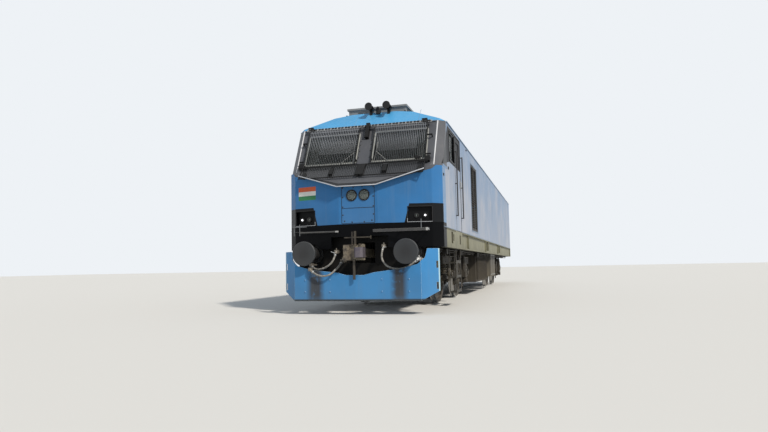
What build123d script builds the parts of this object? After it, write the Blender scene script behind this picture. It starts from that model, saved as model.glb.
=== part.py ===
import os
from math import atan2, cos, hypot, radians, sin, tan

from build123d import *

# Electric locomotive, one section with a driver's cab at its front end.
# Millimetres. +Z up, +Y along the length to the rear, the cab looks along -Y,
# X across. The origin lies under the middle, where the wheel flanges end.
# A station is a distance behind the plane of the cab's front corners.

# Driving dimensions of the whole
length_overall = 19260
front_reach = 700
body_width = 3100
body_length = 18300
cab_length = 2950
sill_bottom = 1218
sill_top = 1598
gutter_height = 3728
shoulder_height = 4025
roof_height = 4085
shoulder_half = 850
crown_half = 480
band_top = 1678
flange_height = 28
rail_top = flange_height
half_width = body_width / 2
front_y = -length_overall / 2 + front_reach
far = half_width + 200

# Plates, walls and clearances
nose_wall = 60
side_wall = 45
floor_plate = 30
end_wall = 50
panel_gap = 6
bore_gap = 0.05


def st(station):
    return front_y + station


# Solids from simple outlines
def box(x0, x1, y0, y1, z0, z1):
    middle = ((x0 + x1) / 2, (y0 + y1) / 2, (z0 + z1) / 2)
    return Pos(*middle) * Box(abs(x1 - x0), abs(y1 - y0), abs(z1 - z0))


def prism_x(outline, x0, x1):
    face = Plane.YZ.offset(x0) * Polygon(*outline, align=None)
    return extrude(face, amount=x1 - x0, dir=(1, 0, 0))


def prism_y(outline, y0, y1):
    face = Plane.XZ.offset(-y1) * Polygon(*outline, align=None)
    return extrude(face, amount=y1 - y0, dir=(0, -1, 0))


def prism_z(outline, z0, z1):
    face = Plane.XY.offset(z0) * Polygon(*outline, align=None)
    return extrude(face, amount=z1 - z0, dir=(0, 0, 1))


def rod_x(x0, x1, y, z, radius):
    return Pos((x0 + x1) / 2, y, z) * Rot(0, 90, 0) * Cylinder(radius, abs(x1 - x0))


def rod_y(y0, y1, x, z, radius):
    return Pos(x, (y0 + y1) / 2, z) * Rot(90, 0, 0) * Cylinder(radius, abs(y1 - y0))


def rod_z(z0, z1, x, y, radius):
    return Pos(x, y, (z0 + z1) / 2) * Cylinder(radius, abs(z1 - z0))


def bar_between(start, end, radius):
    axis = Vector(*end) - Vector(*start)
    plane = Plane(origin=Vector(*start), z_dir=axis.normalized())
    return extrude(plane * Circle(radius), amount=axis.length)


def on_plane(plane, x0, x1, along0, along1, out0, out1):
    middle = ((x0 + x1) / 2, (along0 + along1) / 2, (out0 + out1) / 2)
    return plane * Pos(*middle) * Box(abs(x1 - x0), abs(along1 - along0), abs(out1 - out0))


def joined(pieces):
    return pieces[0] + pieces[1:]


def both_sides(piece):
    return [piece, mirror(piece, about=Plane.YZ)]


def save(node, *pieces):
    solids = []
    for piece in pieces:
        solids.extend(piece.solids())
    shape = solids[0] if len(solids) == 1 else Compound(children=solids)
    shape.label = node
    export_step(shape, "parts/" + node + ".step")


os.makedirs("parts", exist_ok=True)

# Shape of the cab's front end
# Plan of the prow: half width, station
nose_plan = [(385, -320), (1380, -80), (half_width, 90)]
nose_corner_radius = 60
# Rakes, each as station and height on the centre section
hood_front = (-320, 2458)
hood_rear = (75, 2878)
screen_top = (500, gutter_height)
cap_slope = 0.94
cap_top = (screen_top[0] + (roof_height - screen_top[1]) / cap_slope, roof_height)
surround_rear = 620
nose_rear = 400
# Slanted pillars beside the windscreen: two points of the front edge and one
# of the rear edge, each across, station and height
pillar_foot = 2750
pillar_low = (1395, 20, 2768)
pillar_high = (1415, 535, 3798)
pillar_rear = (half_width, 415, 3280)

hood_rise = hood_rear[1] - hood_front[1]
hood_run = hood_rear[0] - hood_front[0]
hood_slope = hood_rise / hood_run
hood_length = hypot(hood_rise, hood_run)
screen_rise = screen_top[1] - hood_rear[1]
screen_run = screen_top[0] - hood_rear[0]
screen_length = hypot(screen_rise, screen_run)
hood_foot = (0, st(hood_rear[0]), hood_rear[1])
screen_out = (0, -screen_rise / screen_length, screen_run / screen_length)
hood_out = (0, -hood_rise / hood_length, hood_run / hood_length)
screen_plane = Plane(origin=hood_foot, x_dir=(1, 0, 0), z_dir=screen_out)
hood_plane = Plane(origin=hood_foot, x_dir=(1, 0, 0), z_dir=hood_out)


def pillar_cut(inset):
    low, high, rear = [Vector(x, st(y), z) for x, y, z in (pillar_low, pillar_high, pillar_rear)]
    outward = (rear - low).cross(high - low).normalized()
    plane = Plane(origin=low - outward * inset, x_dir=high - low, z_dir=outward)
    cut = on_plane(plane, -800, 1800, -900, 900, 0, 900)
    return cut & box(0, far, st(-front_reach), st(2000), pillar_foot - inset, roof_height)


def plan_solid(inset, z0, z1):
    half = half_width - inset
    rear = (half, st(cab_length + inset))
    corner = (half, st(nose_plan[2][1] + inset))
    bend = (nose_plan[1][0] - inset * 0.5, st(nose_plan[1][1] + inset))
    prow = (nose_plan[0][0], st(nose_plan[0][1] + inset))
    right = [rear, corner, bend, prow]
    left = [(-x, y) for x, y in reversed(right)]
    sketch = Plane.XY.offset(z0) * Polygon(*(right + left), align=None)
    bends = [v for v in sketch.vertices() if v.Y < corner[1] + 1 and abs(v.X) > prow[0] + 1]
    sketch = fillet(bends, nose_corner_radius - inset * 0.6)
    return extrude(sketch, amount=z1 - z0, dir=(0, 0, 1))


def rake_solid(inset):
    start = -600
    profile = [
        (st(start), sill_bottom),
        (st(start), hood_front[1] - hood_slope * (hood_front[0] - start) - inset * 1.4),
        (st(hood_rear[0] + inset * 0.5), hood_rear[1] - inset),
        (st(screen_top[0] + inset * 0.9), screen_top[1] - inset * 0.6),
        (st(cap_top[0]), cap_top[1] - inset),
        (st(cab_length + 100), cap_top[1] - inset),
        (st(cab_length + 100), sill_bottom),
    ]
    return prism_x(profile, -far, far)


def section_solid(inset, bottom, y0, y1):
    half = half_width - inset
    flat = shoulder_half - inset * 0.35
    gutter = gutter_height - inset * 0.2
    right = [
        (crown_half, roof_height - inset),
        (flat, shoulder_height - inset),
        (half, gutter),
        (half, bottom),
    ]
    left = [(-x, z) for x, z in reversed(right)]
    return prism_y(right + left, y0, y1)


def cab_solid(inset):
    solid = plan_solid(inset, sill_bottom, roof_height) & rake_solid(inset)
    solid = solid & section_solid(inset, sill_bottom, st(-front_reach), st(cab_length + end_wall))
    return solid - both_sides(pillar_cut(inset))


cab_outside = cab_solid(0)
cab_inside = cab_solid(nose_wall)
cab_shell = cab_outside - cab_inside

# Lower front band, black, round the buffers and the coupler
buffer_x = 978
buffer_height = 1105 + rail_top
buffer_head_radius = 228
buffer_clear_radius = 185
coupler_gap_half = 560
coupler_gap_top = 1440
band_region = box(-far, far, st(-600), st(nose_rear), sill_bottom, band_top)
bumper_band = cab_shell & band_region
for side in (-1, 1):
    x0 = side * buffer_x - buffer_clear_radius
    x1 = side * buffer_x + buffer_clear_radius
    bumper_band = bumper_band - rod_y(st(-600), st(200), side * buffer_x, buffer_height, buffer_clear_radius)
    bumper_band = bumper_band - box(x0, x1, st(-600), st(200), sill_bottom - 100, buffer_height)
coupler_gap = box(-coupler_gap_half, coupler_gap_half, st(-600), st(0), sill_bottom - 1, coupler_gap_top)
save("bumper_band", bumper_band - coupler_gap)

# Blue nose with its centre hatch opening and the two lamp recesses
hatch_half = 325
hatch_bottom = 1690
hatch_top = 2392
recess_inner = 920
recess_outer = 1370
recess_bottom = 1690
recess_top = 1975
lip = 36
split_line = [
    (st(-front_reach), band_top),
    (st(-front_reach), hood_front[1] - hood_slope * (front_reach + hood_front[0]) - lip),
    (st(hood_rear[0] - (hood_rear[1] - lip - pillar_foot) / hood_slope), pillar_foot),
    (st(nose_rear), pillar_foot),
    (st(nose_rear), band_top),
]
nose_region = prism_x(split_line, -far, far)
nose_shell = cab_shell & nose_region
nose_shell = nose_shell - box(-hatch_half, hatch_half, st(-600), st(100), hatch_bottom, hatch_top)
recesses = []
for side in (-1, 1):
    inner = side * recess_inner
    outer = side * recess_outer
    recesses.append(box(inner, outer, st(-600), st(100), recess_bottom, recess_top))
save("nose_shell", nose_shell - recesses[0] - recesses[1])

# Lamp boxes that close the recesses, open to the front, with two lamps each
recess_depth = 60
recess_sheet = 8
recess_floor = cab_solid(recess_depth) - cab_solid(recess_depth + recess_sheet)
lamp_boxes = [recess_floor & recess for recess in recesses]
marker_radius = 38
marker_height = 1808
marker_lamps = []
for side in (-1, 1):
    for x in (1075, 1235):
        marker_lamps.append(rod_y(st(-75), st(30), side * x, marker_height, marker_radius) - cab_inside)

# Screwed service hatch in the nose with the two headlamps
headlamp_x = 124
headlamp_height = 2218
headlamp_radius = 100
headlamp_rim = 12
hatch_sheet = 12
hatch_gap = 4
hatch_rim = 40
hatch_split = 1978
hatch_y = st(nose_plan[0][1])
leaf_half = hatch_half - hatch_gap
leaf_y = hatch_y + hatch_sheet
hatch = box(-leaf_half, leaf_half, hatch_y, leaf_y, hatch_split + 3, hatch_top - hatch_gap)
for side in (-1, 1):
    hatch = hatch - rod_y(hatch_y - 20, hatch_y + 60, side * headlamp_x, headlamp_height, headlamp_radius)
hatch_low = box(-leaf_half, leaf_half, hatch_y, leaf_y, hatch_bottom + hatch_gap, hatch_split - 3)
rim_half = hatch_half - hatch_rim
hatch_frame = box(-hatch_half, hatch_half, leaf_y, hatch_y + nose_wall, hatch_bottom, hatch_top)
hatch_frame = hatch_frame - box(
    -rim_half, rim_half, hatch_y, hatch_y + 200, hatch_bottom + hatch_rim, hatch_top - hatch_rim
)
save("nose_hatch", joined([hatch_frame, hatch, hatch_low]))

headlamps = []
for side in (-1, 1):
    x = side * headlamp_x
    bowl = rod_y(hatch_y - 14, hatch_y + 90, x, headlamp_height, headlamp_radius)
    hollow = rod_y(hatch_y - 20, hatch_y + 10, x, headlamp_height, headlamp_radius - headlamp_rim)
    headlamps.append(bowl - hollow)
save("lamps", *(headlamps + lamp_boxes + marker_lamps))

# Grey surround of the windscreen with its two openings and the cover between
pane_inner = 165
pane_outer = 1240
pane_bottom = 2905
pane_top = 3560
cover_half = 132
cover_proud = 30
surround_region = box(-far, far, st(-front_reach), st(surround_rear), band_top, gutter_height) - nose_region
nose_back = box(-far, far, st(nose_rear), st(surround_rear) + 1, band_top, pillar_foot)
surround_region = surround_region - nose_back
surround = cab_shell & surround_region
pane_cuts = []
for side in (-1, 1):
    x = side * pane_inner
    pane_cuts.append(box(x, side * pane_outer, st(-200), st(surround_rear), pane_bottom, pane_top))
for cut in pane_cuts:
    surround = surround - cut
surround = surround + on_plane(screen_plane, -cover_half, cover_half, -50, 570, -5, cover_proud)
save("windscreen_surround", surround)

# Cab sides, with a window and a door opening each
door_front = 1690
door_rear = 2400
door_top = 3640
window_front = 930
window_rear = 1590
window_bottom = 2980
window_top = 3600
region = box(-far, far, st(nose_rear), st(cab_length), sill_top, gutter_height)
region = region - box(-1300, 1300, st(0), st(cab_length) + 1, sill_top - 1, gutter_height + 1)
cab_sides = (cab_shell & region) - surround_region - nose_region - band_region
cab_sides = cab_sides - box(-far, far, st(window_front), st(window_rear), window_bottom, window_top)
cab_sides = cab_sides - box(-far, far, st(door_front), st(door_rear), sill_top - 1, door_top)

# Door hinges: a pin on the door turns in lugs on the wall, at these heights
hinge_pin_radius = 12
hinge_lug_radius = 17
hinge_lug_heights = (1900, 2500, 3120)
hinge_arm_heights = (2000, 2600, 3020)
hinge_lug_tall = 60
hinge_arm_tall = 80
hinge_pin_low = hinge_lug_heights[0] - 20
hinge_pin_high = hinge_lug_heights[-1] + hinge_lug_tall + 20
door_recess = 6
door_leaf = nose_wall - 12
door_pin_inset = 26
door_pin_x = half_width - door_recess - door_leaf - door_pin_inset
door_pin_y = st(door_front + 30)
for side in (-1, 1):
    pin_x = side * door_pin_x
    inner = side * (door_pin_x - hinge_lug_radius)
    clear = side * (door_pin_x + hinge_lug_radius)
    for z in hinge_lug_heights:
        lug_top = z + hinge_lug_tall
        lug = rod_z(z, lug_top, pin_x, door_pin_y, hinge_lug_radius)
        foot = box(inner, side * (half_width - nose_wall + 1), st(door_front - 50), door_pin_y, z, lug_top)
        foot = foot - box(clear, side * far, st(door_front), st(door_rear), z - 1, lug_top + 40)
        cab_sides = cab_sides + lug + foot
    cab_sides = cab_sides - rod_z(1700, 3400, pin_x, door_pin_y, hinge_pin_radius + bore_gap)
save("cab_sides", cab_sides)

# Roof of the cab, from the raked cap to the machine room
cab_roof = cab_shell & box(-far, far, st(-front_reach), st(cab_length), gutter_height, roof_height)
save("cab_roof", cab_roof)

# Glass of the windscreen and of the cab's side windows
glass = 14
glass_depth = 25
screen_slab = on_plane(screen_plane, -far, far, -60, screen_length + 60, -glass_depth - glass, -glass_depth)
panes = [screen_slab & cut for cut in pane_cuts]
for side in (-1, 1):
    x = side * (half_width - nose_wall / 2)
    panes.append(box(x, x - side * glass, st(window_front), st(window_rear), window_bottom, window_top))
save("cab_glass", *panes)

# Cab doors, hinged at their front edge and opening inwards
door_clear = 8
door_frame = 130
door_window_top = 3540
door_glass = 12
for side, node in ((-1, "cab_door_left"), (1, "cab_door_right")):
    outer = side * (half_width - door_recess)
    inner = side * (half_width - door_recess - door_leaf)
    leaf_front = st(door_front + door_clear)
    leaf_rear = st(door_rear - door_clear)
    leaf = box(outer, inner, leaf_front, leaf_rear, sill_top + door_clear, door_top - door_clear)
    pane_front = st(door_front + door_frame)
    pane_rear = st(door_rear - door_frame)
    glass_x = outer - side * 18
    leaf = leaf - box(side * far, 0, pane_front, pane_rear, window_bottom, door_window_top)
    pane = box(glass_x, glass_x - side * door_glass, pane_front, pane_rear, window_bottom, door_window_top)
    door = leaf + pane
    pin_x = side * door_pin_x
    for z in hinge_arm_heights:
        door = door + box(pin_x, inner + side, door_pin_y - 10, door_pin_y + 10, z, z + hinge_arm_tall)
    save(node, door + rod_z(hinge_pin_low, hinge_pin_high, pin_x, door_pin_y, hinge_pin_radius))

# Guard in front of the windscreen: two grids of fine wires, one more over the
# hood below them, a slotted rail on top, and black brackets to the body
guard_stand = 70
hood_guard_stand = 40
guard_inner = 150
guard_outer = 1250
guard_low = -70
guard_high = 870
guard_ties = (690, 800)
hood_guard_low = -430
hood_guard_high = -95
guard_frame = 20
guard_tie = 8
guard_pitch = 36
guard_wire = 7
guard_thick = 12


def wire_grid(x0, x1, low, high, ties):
    sheet = Pos((x0 + x1) / 2, (low + high) / 2) * Rectangle(abs(x1 - x0), high - low)
    inside = abs(x1 - x0) - 2 * guard_frame
    count = round(inside / guard_pitch)
    pitch = inside / count
    start = min(x0, x1) + guard_frame + pitch / 2
    feet = [low + guard_frame] + [tie + guard_tie for tie in ties]
    heads = [tie for tie in ties] + [high - guard_frame]
    slots = []
    for i in range(count):
        for foot, head in zip(feet, heads):
            slot = Rectangle(pitch - guard_wire, head - foot)
            slots.append(Pos(start + i * pitch, (foot + head) / 2) * slot)
    return sheet - slots


guard_plane = screen_plane.offset(guard_stand)
hood_guard_plane = hood_plane.offset(hood_guard_stand)
guard = []
for side in (-1, 1):
    grid = wire_grid(side * guard_inner, side * guard_outer, guard_low, guard_high, guard_ties)
    guard.append(extrude(guard_plane * grid, amount=guard_thick))
    grid = wire_grid(side * 20, side * guard_outer, hood_guard_low, hood_guard_high, ())
    guard.append(extrude(hood_guard_plane * grid, amount=guard_thick))
cross_bar_y = hood_foot[1] + screen_out[1] * guard_stand - 32
cross_bar_z = hood_foot[2] + screen_out[2] * guard_stand - 62
guard.append(box(-1300, 1300, cross_bar_y - 12, cross_bar_y + 18, cross_bar_z - 28, cross_bar_z + 14))
# Slotted rail
rail_half = 1320
rail_low = guard_high - 8
rail_high = guard_high + 40
rail_slot_pitch = 48
rail_sheet = Pos(0, (rail_low + rail_high) / 2) * Rectangle(2 * rail_half, rail_high - rail_low)
slot_count = int(2 * rail_half / rail_slot_pitch)
rail_slots = []
for i in range(slot_count):
    x = (i - (slot_count - 1) / 2) * rail_slot_pitch
    rail_slots.append(Pos(x, (rail_low + rail_high) / 2) * Rectangle(28, 22))
guard.append(extrude(guard_plane * (rail_sheet - rail_slots), amount=guard_thick))
# Brackets on the screen plane: x from, to, along from, to, out from, to
screen_brackets = [
    (-38, 38, 600, 960, -60, 16),
    (-1330, -1240, -75, 40, -90, 14),
    (1240, 1330, -75, 40, -90, 14),
    (-1300, -1190, 880, 960, -70, 14),
    (1110, 1220, 880, 960, -70, 14),
    (-1345, -1240, 535, 560, -8, 12),
    (1240, 1345, 535, 560, -8, 12),
    (-1345, -1240, 70, 95, -8, 12),
    (1240, 1345, 70, 95, -8, 12),
    (1040, 1150, -22, 30, 0, 30),
    (150, 172, 60, 90, -90, 4),
    (-172, -150, 60, 90, -90, 4),
    (-1345, -1327, 535, 560, -90, 12),
    (1327, 1345, 535, 560, -90, 12),
]
# Brackets on the hood plane, in the same columns
hood_brackets = [
    (-90, 75, -400, -90, -8, 22),
    (-60, 45, -330, -150, -60, 0),
    (430, 520, -330, -110, -60, 20),
    (-640, -560, -340, -150, -60, 20),
    (-1190, -1130, -360, -240, -60, 16),
    (1130, 1190, -360, -240, -60, 16),
]
for bracket in screen_brackets:
    guard.append(on_plane(guard_plane, *bracket))
for bracket in hood_brackets:
    guard.append(on_plane(hood_guard_plane, *bracket))
cover_room = on_plane(screen_plane, -140, 140, -60, 580, -80, cover_proud + 6)
save("window_guard", joined(guard) - cab_outside - cover_room)

# Wipers, parked on the panes behind the guard
wipers = []
for side in (-1, 1):
    pivot = screen_plane * Pos(side * 520, -12, 4) * Cylinder(20, 40)
    arm = screen_plane * Pos(side * 375, 130, 16) * Rot(0, 0, side * 45) * Box(14, 415, 8)
    blade = screen_plane * Pos(side * 225, 270, 8) * Rot(0, 0, side * -3) * Box(12, 480, 16)
    wipers.append(joined([pivot, arm, blade]) - cab_outside)
save("wipers", joined(wipers))

# Underframe: side sills with pockets, floor, headstock, rear beam, pivot pins
sill_width = 150
sill_recess = 44
sill_flange = 30
sill_inner = half_width - sill_width
headstock_front = -60
headstock_depth = 260
headstock_half = 1180
headstock_bottom = 690
headstock_top = 1440
bogie_station = (4050, body_length - 3850)
bogie_middle = (bogie_station[0] + bogie_station[1]) / 2
pivot_pin_radius = 120
pivot_pin_bottom = 760
floor_bottom = sill_top - floor_plate
# Open lengths of the sill's web: station from, to
web_table = [
    (2460, 3540),
    (3560, 7500),
    (8260, 11750),
    (12510, body_length - 80),
]
# Pockets in the sill: station from, to, height from, to
pocket_table = [
    (960, 1140, 1310, 1545),
    (1190, 1280, 1360, 1500),
    (2050, 2190, 1316, 1512),
    (7560, 8200, 1290, 1560),
    (11810, 12450, 1290, 1560),
]
sills = []
for side in (-1, 1):
    outer = side * half_width
    inner = side * sill_inner
    sill = box(outer, inner, st(nose_rear), st(body_length), sill_bottom, sill_top)
    web = side * (half_width - sill_recess)
    for start, end in web_table:
        sill = sill - box(outer, web, st(start), st(end), sill_bottom + sill_flange, sill_top - sill_flange)
    for start, end, low, high in pocket_table:
        sill = sill - box(outer, side * (half_width - 90), st(start), st(end), low, high)
    sills.append(sill)
floor = box(-sill_inner, sill_inner, st(150), st(body_length), floor_bottom, sill_top)
headstock_rear = headstock_front + headstock_depth
headstock = box(
    -headstock_half, headstock_half, st(headstock_front), st(headstock_rear), headstock_bottom, headstock_top
)
mouth_half = 240
mouth_low = 940
mouth_high = 1330
headstock = headstock - box(-mouth_half, mouth_half, st(-200), st(400), mouth_low, mouth_high)
draft_length = 1500
draft_half = 300
draft_sheet = 40
coupler_pin_station = 620
coupler_pin_radius = 45
draft = []
for side in (-1, 1):
    outer = side * draft_half
    inner = side * (draft_half - draft_sheet)
    draft.append(box(inner, outer, st(headstock_rear), st(draft_length), mouth_low, floor_bottom))
    draft.append(box(side * 700, side * headstock_half, st(150), st(240), headstock_top, floor_bottom))
    draft.append(box(side * 1330, side * 1401, st(200), st(1600), 1330, floor_bottom))
    draft.append(box(side * 1170, side * 1400, st(140), st(180), headstock_bottom + 20, sill_bottom - 10))
draft.append(
    box(-draft_half, draft_half, st(headstock_rear), st(draft_length), mouth_high + 60, mouth_high + 100)
)
pin_floor_top = mouth_low - 50
draft.append(
    box(
        -draft_half,
        draft_half,
        st(coupler_pin_station - 120),
        st(coupler_pin_station + 120),
        pin_floor_top - draft_sheet,
        pin_floor_top,
    )
)
draft.append(rod_z(pin_floor_top - 10, mouth_high + 70, 0, st(coupler_pin_station), coupler_pin_radius))
for side in (-1, 1):
    outer = side * draft_half
    inner = side * (draft_half - draft_sheet)
    draft.append(
        box(
            inner,
            outer,
            st(coupler_pin_station - 120),
            st(coupler_pin_station + 120),
            pin_floor_top - draft_sheet,
            mouth_low + 1,
        )
    )
beam_half = 60
beam_bottom = 1300
beam_offset = 700
beam_spacing = 2250
beam_stations = [bogie_station[0] - beam_offset, bogie_station[0] + beam_offset]
beam_stations += [bogie_middle - beam_spacing, bogie_middle, bogie_middle + beam_spacing]
beam_stations += [bogie_station[1] - beam_offset, bogie_station[1] + beam_offset]
beams = []
for station in beam_stations:
    half = sill_inner + 1
    beam_front = st(station - beam_half)
    beam_rear = st(station + beam_half)
    beams.append(box(-half, half, beam_front, beam_rear, beam_bottom, floor_bottom))
pins = []
for station in bogie_station:
    pins.append(rod_z(pivot_pin_bottom, floor_bottom, 0, st(station), pivot_pin_radius))
rear_beam_depth = 120
rear_front = st(body_length - rear_beam_depth)
rear_beam = box(-sill_inner, sill_inner, rear_front, st(body_length), sill_bottom, floor_bottom)
rear_beam = rear_beam + box(-500, 500, rear_front, st(body_length), 900, sill_bottom)
rear_bar_half = 95
rear_bar_low = 1030
rear_bar_high = 1220
rear_beam = rear_beam - box(
    -rear_bar_half, rear_bar_half, rear_front - 50, st(body_length + 50), rear_bar_low, rear_bar_high
)
underframe = joined(sills + [floor, headstock, rear_beam] + draft + beams + pins)
save("underframe", underframe)

# Buffers: round head with a bevelled rim, plunger, housing and flange
buffer_face = -640
buffer_head_thick = 45
housing_front = -330
flange_thick_y = 30
buffers = []
for side in (-1, 1):
    x = side * buffer_x
    head = rod_y(st(buffer_face), st(buffer_face + buffer_head_thick), x, buffer_height, buffer_head_radius)
    head = chamfer(head.edges().group_by(Axis.Y)[0], 10)
    plunger = rod_y(st(buffer_face + buffer_head_thick), st(housing_front), x, buffer_height, 95)
    collar = rod_y(st(housing_front - 40), st(housing_front), x, buffer_height, 112)
    housing = rod_y(st(housing_front), st(headstock_front - flange_thick_y), x, buffer_height, 135)
    flange = rod_y(st(headstock_front - flange_thick_y), st(headstock_front), x, buffer_height, 175)
    buffers.append(joined([head, plunger, collar, housing, flange]))
save("buffers", *buffers)

# Automatic coupler, turning on its pin behind the headstock
coupler_height = buffer_height
head_front = -front_reach
shank_half = 70
head_half_height = 140
knuckle_half_height = 92
shank = box(
    -shank_half, shank_half, st(-430), st(coupler_pin_station + 90), coupler_height - 85, coupler_height + 85
)
shank = shank - rod_z(
    coupler_height - 200, coupler_height + 200, 0, st(coupler_pin_station), coupler_pin_radius + bore_gap
)
head_outline = [
    (-175, st(-690)),
    (-175, st(-520)),
    (-110, st(-430)),
    (110, st(-430)),
    (190, st(-520)),
    (190, st(-560)),
    (70, st(-560)),
    (40, st(-600)),
    (-60, st(-600)),
    (-110, st(-690)),
]
head_low = coupler_height - head_half_height
head_high = coupler_height + head_half_height
head = prism_z(head_outline, head_low, head_high)
knuckle_pin_x = 140
knuckle_pin_y = st(-520)
knuckle_pin_radius = 22
pocket = box(60, 260, st(-700), st(-470), coupler_height - 100, coupler_height + 100)
head = head - pocket
for z in (coupler_height - 70, coupler_height + 70):
    head = head + box(-187, -170, st(-680), st(-530), z - 12, z + 12)
knuckle_post = rod_z(head_low, head_high + 18, knuckle_pin_x, knuckle_pin_y, knuckle_pin_radius)
post_nut = rod_z(head_high, head_high + 14, knuckle_pin_x, knuckle_pin_y, knuckle_pin_radius + 14)
lock_lever = box(-20, 20, st(-612), st(-582), 640, head_low)
lock_lift = box(-18, 18, st(-540), st(-505), head_high, 1528)
lock_twin = box(-66, -42, st(-540), st(-512), head_high, 1518)
lock_link = box(-66, 18, st(-538), st(-514), 1400, 1424)
lift_bar = rod_x(-210, 310, st(-522), 1410, 12)
lift_handle = box(296, 312, st(-534), st(-510), 1380, 1440)
coupler_pieces = [shank, head, knuckle_post, post_nut, lock_lever, lock_lift]
save("coupler_head", joined(coupler_pieces + [lock_twin, lock_link, lift_bar, lift_handle]))

knuckle_outline = [
    (95, st(-485)),
    (185, st(-485)),
    (205, st(-560)),
    (195, st(-680)),
    (150, st(head_front)),
    (60, st(head_front)),
    (25, st(-670)),
    (40, st(-640)),
    (110, st(-625)),
    (115, st(-560)),
]
knuckle_low = coupler_height - knuckle_half_height
knuckle_high = coupler_height + knuckle_half_height
knuckle = prism_z(knuckle_outline, knuckle_low, knuckle_high)
knuckle = knuckle + rod_z(knuckle_low, knuckle_high, knuckle_pin_x, knuckle_pin_y, knuckle_pin_radius * 2)
knuckle_bore = rod_z(head_low, head_high, knuckle_pin_x, knuckle_pin_y, knuckle_pin_radius + bore_gap)
save("coupler_knuckle", knuckle - knuckle_bore)

# Bar coupler towards the other section, fixed in the rear beam
rear_eye_y = length_overall / 2 - rear_bar_half
rear_coupler = box(-rear_bar_half, rear_bar_half, rear_front, rear_eye_y, rear_bar_low, rear_bar_high)
rear_coupler = rear_coupler + rod_z(rear_bar_low, rear_bar_high, 0, rear_eye_y, rear_bar_half)
save("rear_coupler", rear_coupler)

# Plough: one bent plate with slots in its wings and ribs up to the headstock
plough_plate = 20
plough_bottom = 250
plough_bend_x = 1220
plough_tip_x = 1515
plough_bend = -500
plough_nose = -545
plough_tip = -250
plough_right = [(plough_bend_x, plough_bend), (plough_tip_x, plough_tip)]
plough_left = [(-x, y) for x, y in reversed(plough_right)]
plough_plan = plough_left + [(0, plough_nose)] + plough_right
plough_front = [(x, st(y)) for x, y in plough_plan]
plough_back = [(x * 0.99, st(y + plough_plate)) for x, y in reversed(plough_plan)]
# Right half of the plate's outline from below, across and height
plough_half = [
    (plough_bend_x, plough_bottom),
    (plough_tip_x, 420),
    (plough_tip_x, 1180),
    (1322, 1180),
    (1285, 1020),
    (1160, 905),
    (880, 830),
    (620, 800),
    (350, 768),
    (170, 722),
]
plough_face = plough_half + [(-x, z) for x, z in reversed(plough_half)]
plough = prism_z(plough_front + plough_back, plough_bottom, 1200)
plough = plough & prism_y(plough_face, st(-front_reach), st(0))
for side in (-1, 1):
    slot_inner = side * (plough_tip_x - 58)
    slot_outer = side * (plough_tip_x - 22)
    for low, high in ((448, 574), (828, 954)):
        plough = plough - box(slot_inner, slot_outer, st(-500), st(0), low, high)
ribs = []
for x in (-1000, -500, 500, 1000):
    rib_front = plough_nose + (plough_bend - plough_nose) * abs(x) / plough_bend_x + plough_plate / 2
    rib_outline = [
        (st(rib_front), plough_bottom + 60),
        (st(rib_front), 700),
        (st(headstock_front), headstock_bottom + 80),
        (st(headstock_front), headstock_bottom),
        (st(headstock_front + 120), headstock_bottom),
        (st(headstock_front + 60), 560),
    ]
    ribs.append(prism_x(rib_outline, x - 8, x + 8))
save("plough", joined([plough] + ribs))

# Machine room: side walls with a louvred intake each
intake_front = 4200
intake_rear = 5450
intake_bottom = 1740
intake_top = 3450
intake_rim = 50
slat_count = 26
slat_rise = 21
slat_sheet = 3
wall_rear = body_length - end_wall
side_walls = []
grilles = []
for side in (-1, 1):
    outer = side * half_width
    inner = side * (half_width - side_wall)
    wall = box(outer, inner, st(cab_length), st(wall_rear), sill_top, gutter_height)
    intake = box(side * far, 0, st(intake_front), st(intake_rear), intake_bottom, intake_top)
    side_walls.append(wall - intake)
    rim_out = side * (half_width - 5)
    rim = box(rim_out, inner, st(intake_front), st(intake_rear), intake_bottom, intake_top)
    rim = rim - box(
        side * far,
        0,
        st(intake_front + intake_rim),
        st(intake_rear - intake_rim),
        intake_bottom + intake_rim,
        intake_top - intake_rim,
    )
    intake_middle = (intake_front + intake_rear) / 2
    post = box(rim_out, inner, st(intake_middle - 25), st(intake_middle + 25), intake_bottom, intake_top)
    slats = [rim, post]
    slat_pitch = (intake_top - intake_bottom - 2 * intake_rim) / slat_count
    x_out = side * (half_width - 12)
    x_in = side * (half_width - side_wall + 5)
    for i in range(slat_count):
        z = intake_bottom + intake_rim + (i + 0.5) * slat_pitch
        slat = [
            (x_out, z - slat_rise - slat_sheet),
            (x_out, z - slat_rise + slat_sheet),
            (x_in, z + slat_rise + slat_sheet),
            (x_in, z + slat_rise - slat_sheet),
        ]
        slats.append(prism_y(slat, st(intake_front + intake_rim - 10), st(intake_rear - intake_rim + 10)))
    grilles.append(joined(slats))
save("side_walls", *side_walls)
save("intake_grilles", *grilles)

# Roof shoulders with the ledges that carry the roof hatches
shoulder_sheet = 40
hatch_inner = shoulder_half - 60
well_deck = gutter_height + 38
ledge_top = well_deck - 8
shoulders = section_solid(0, gutter_height, st(cab_length), st(wall_rear))
shoulders = shoulders - section_solid(
    shoulder_sheet, gutter_height - 10, st(cab_length) - 1, st(body_length) + 1
)
shoulders = shoulders - box(
    -hatch_inner, hatch_inner, st(cab_length) - 1, st(body_length) + 1, gutter_height - 1, roof_height + 1
)
for side in (-1, 1):
    x = side * hatch_inner
    front = st(cab_length)
    rear = st(wall_rear)
    shoulders = shoulders + box(x, x + side * 30, front, rear, ledge_top - 20, shoulder_height)
    ledge_outer = side * (half_width - 60)
    shoulders = shoulders + box(x - side * 50, ledge_outer, front, rear, gutter_height, ledge_top)
save("roof_shoulders", shoulders)

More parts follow.
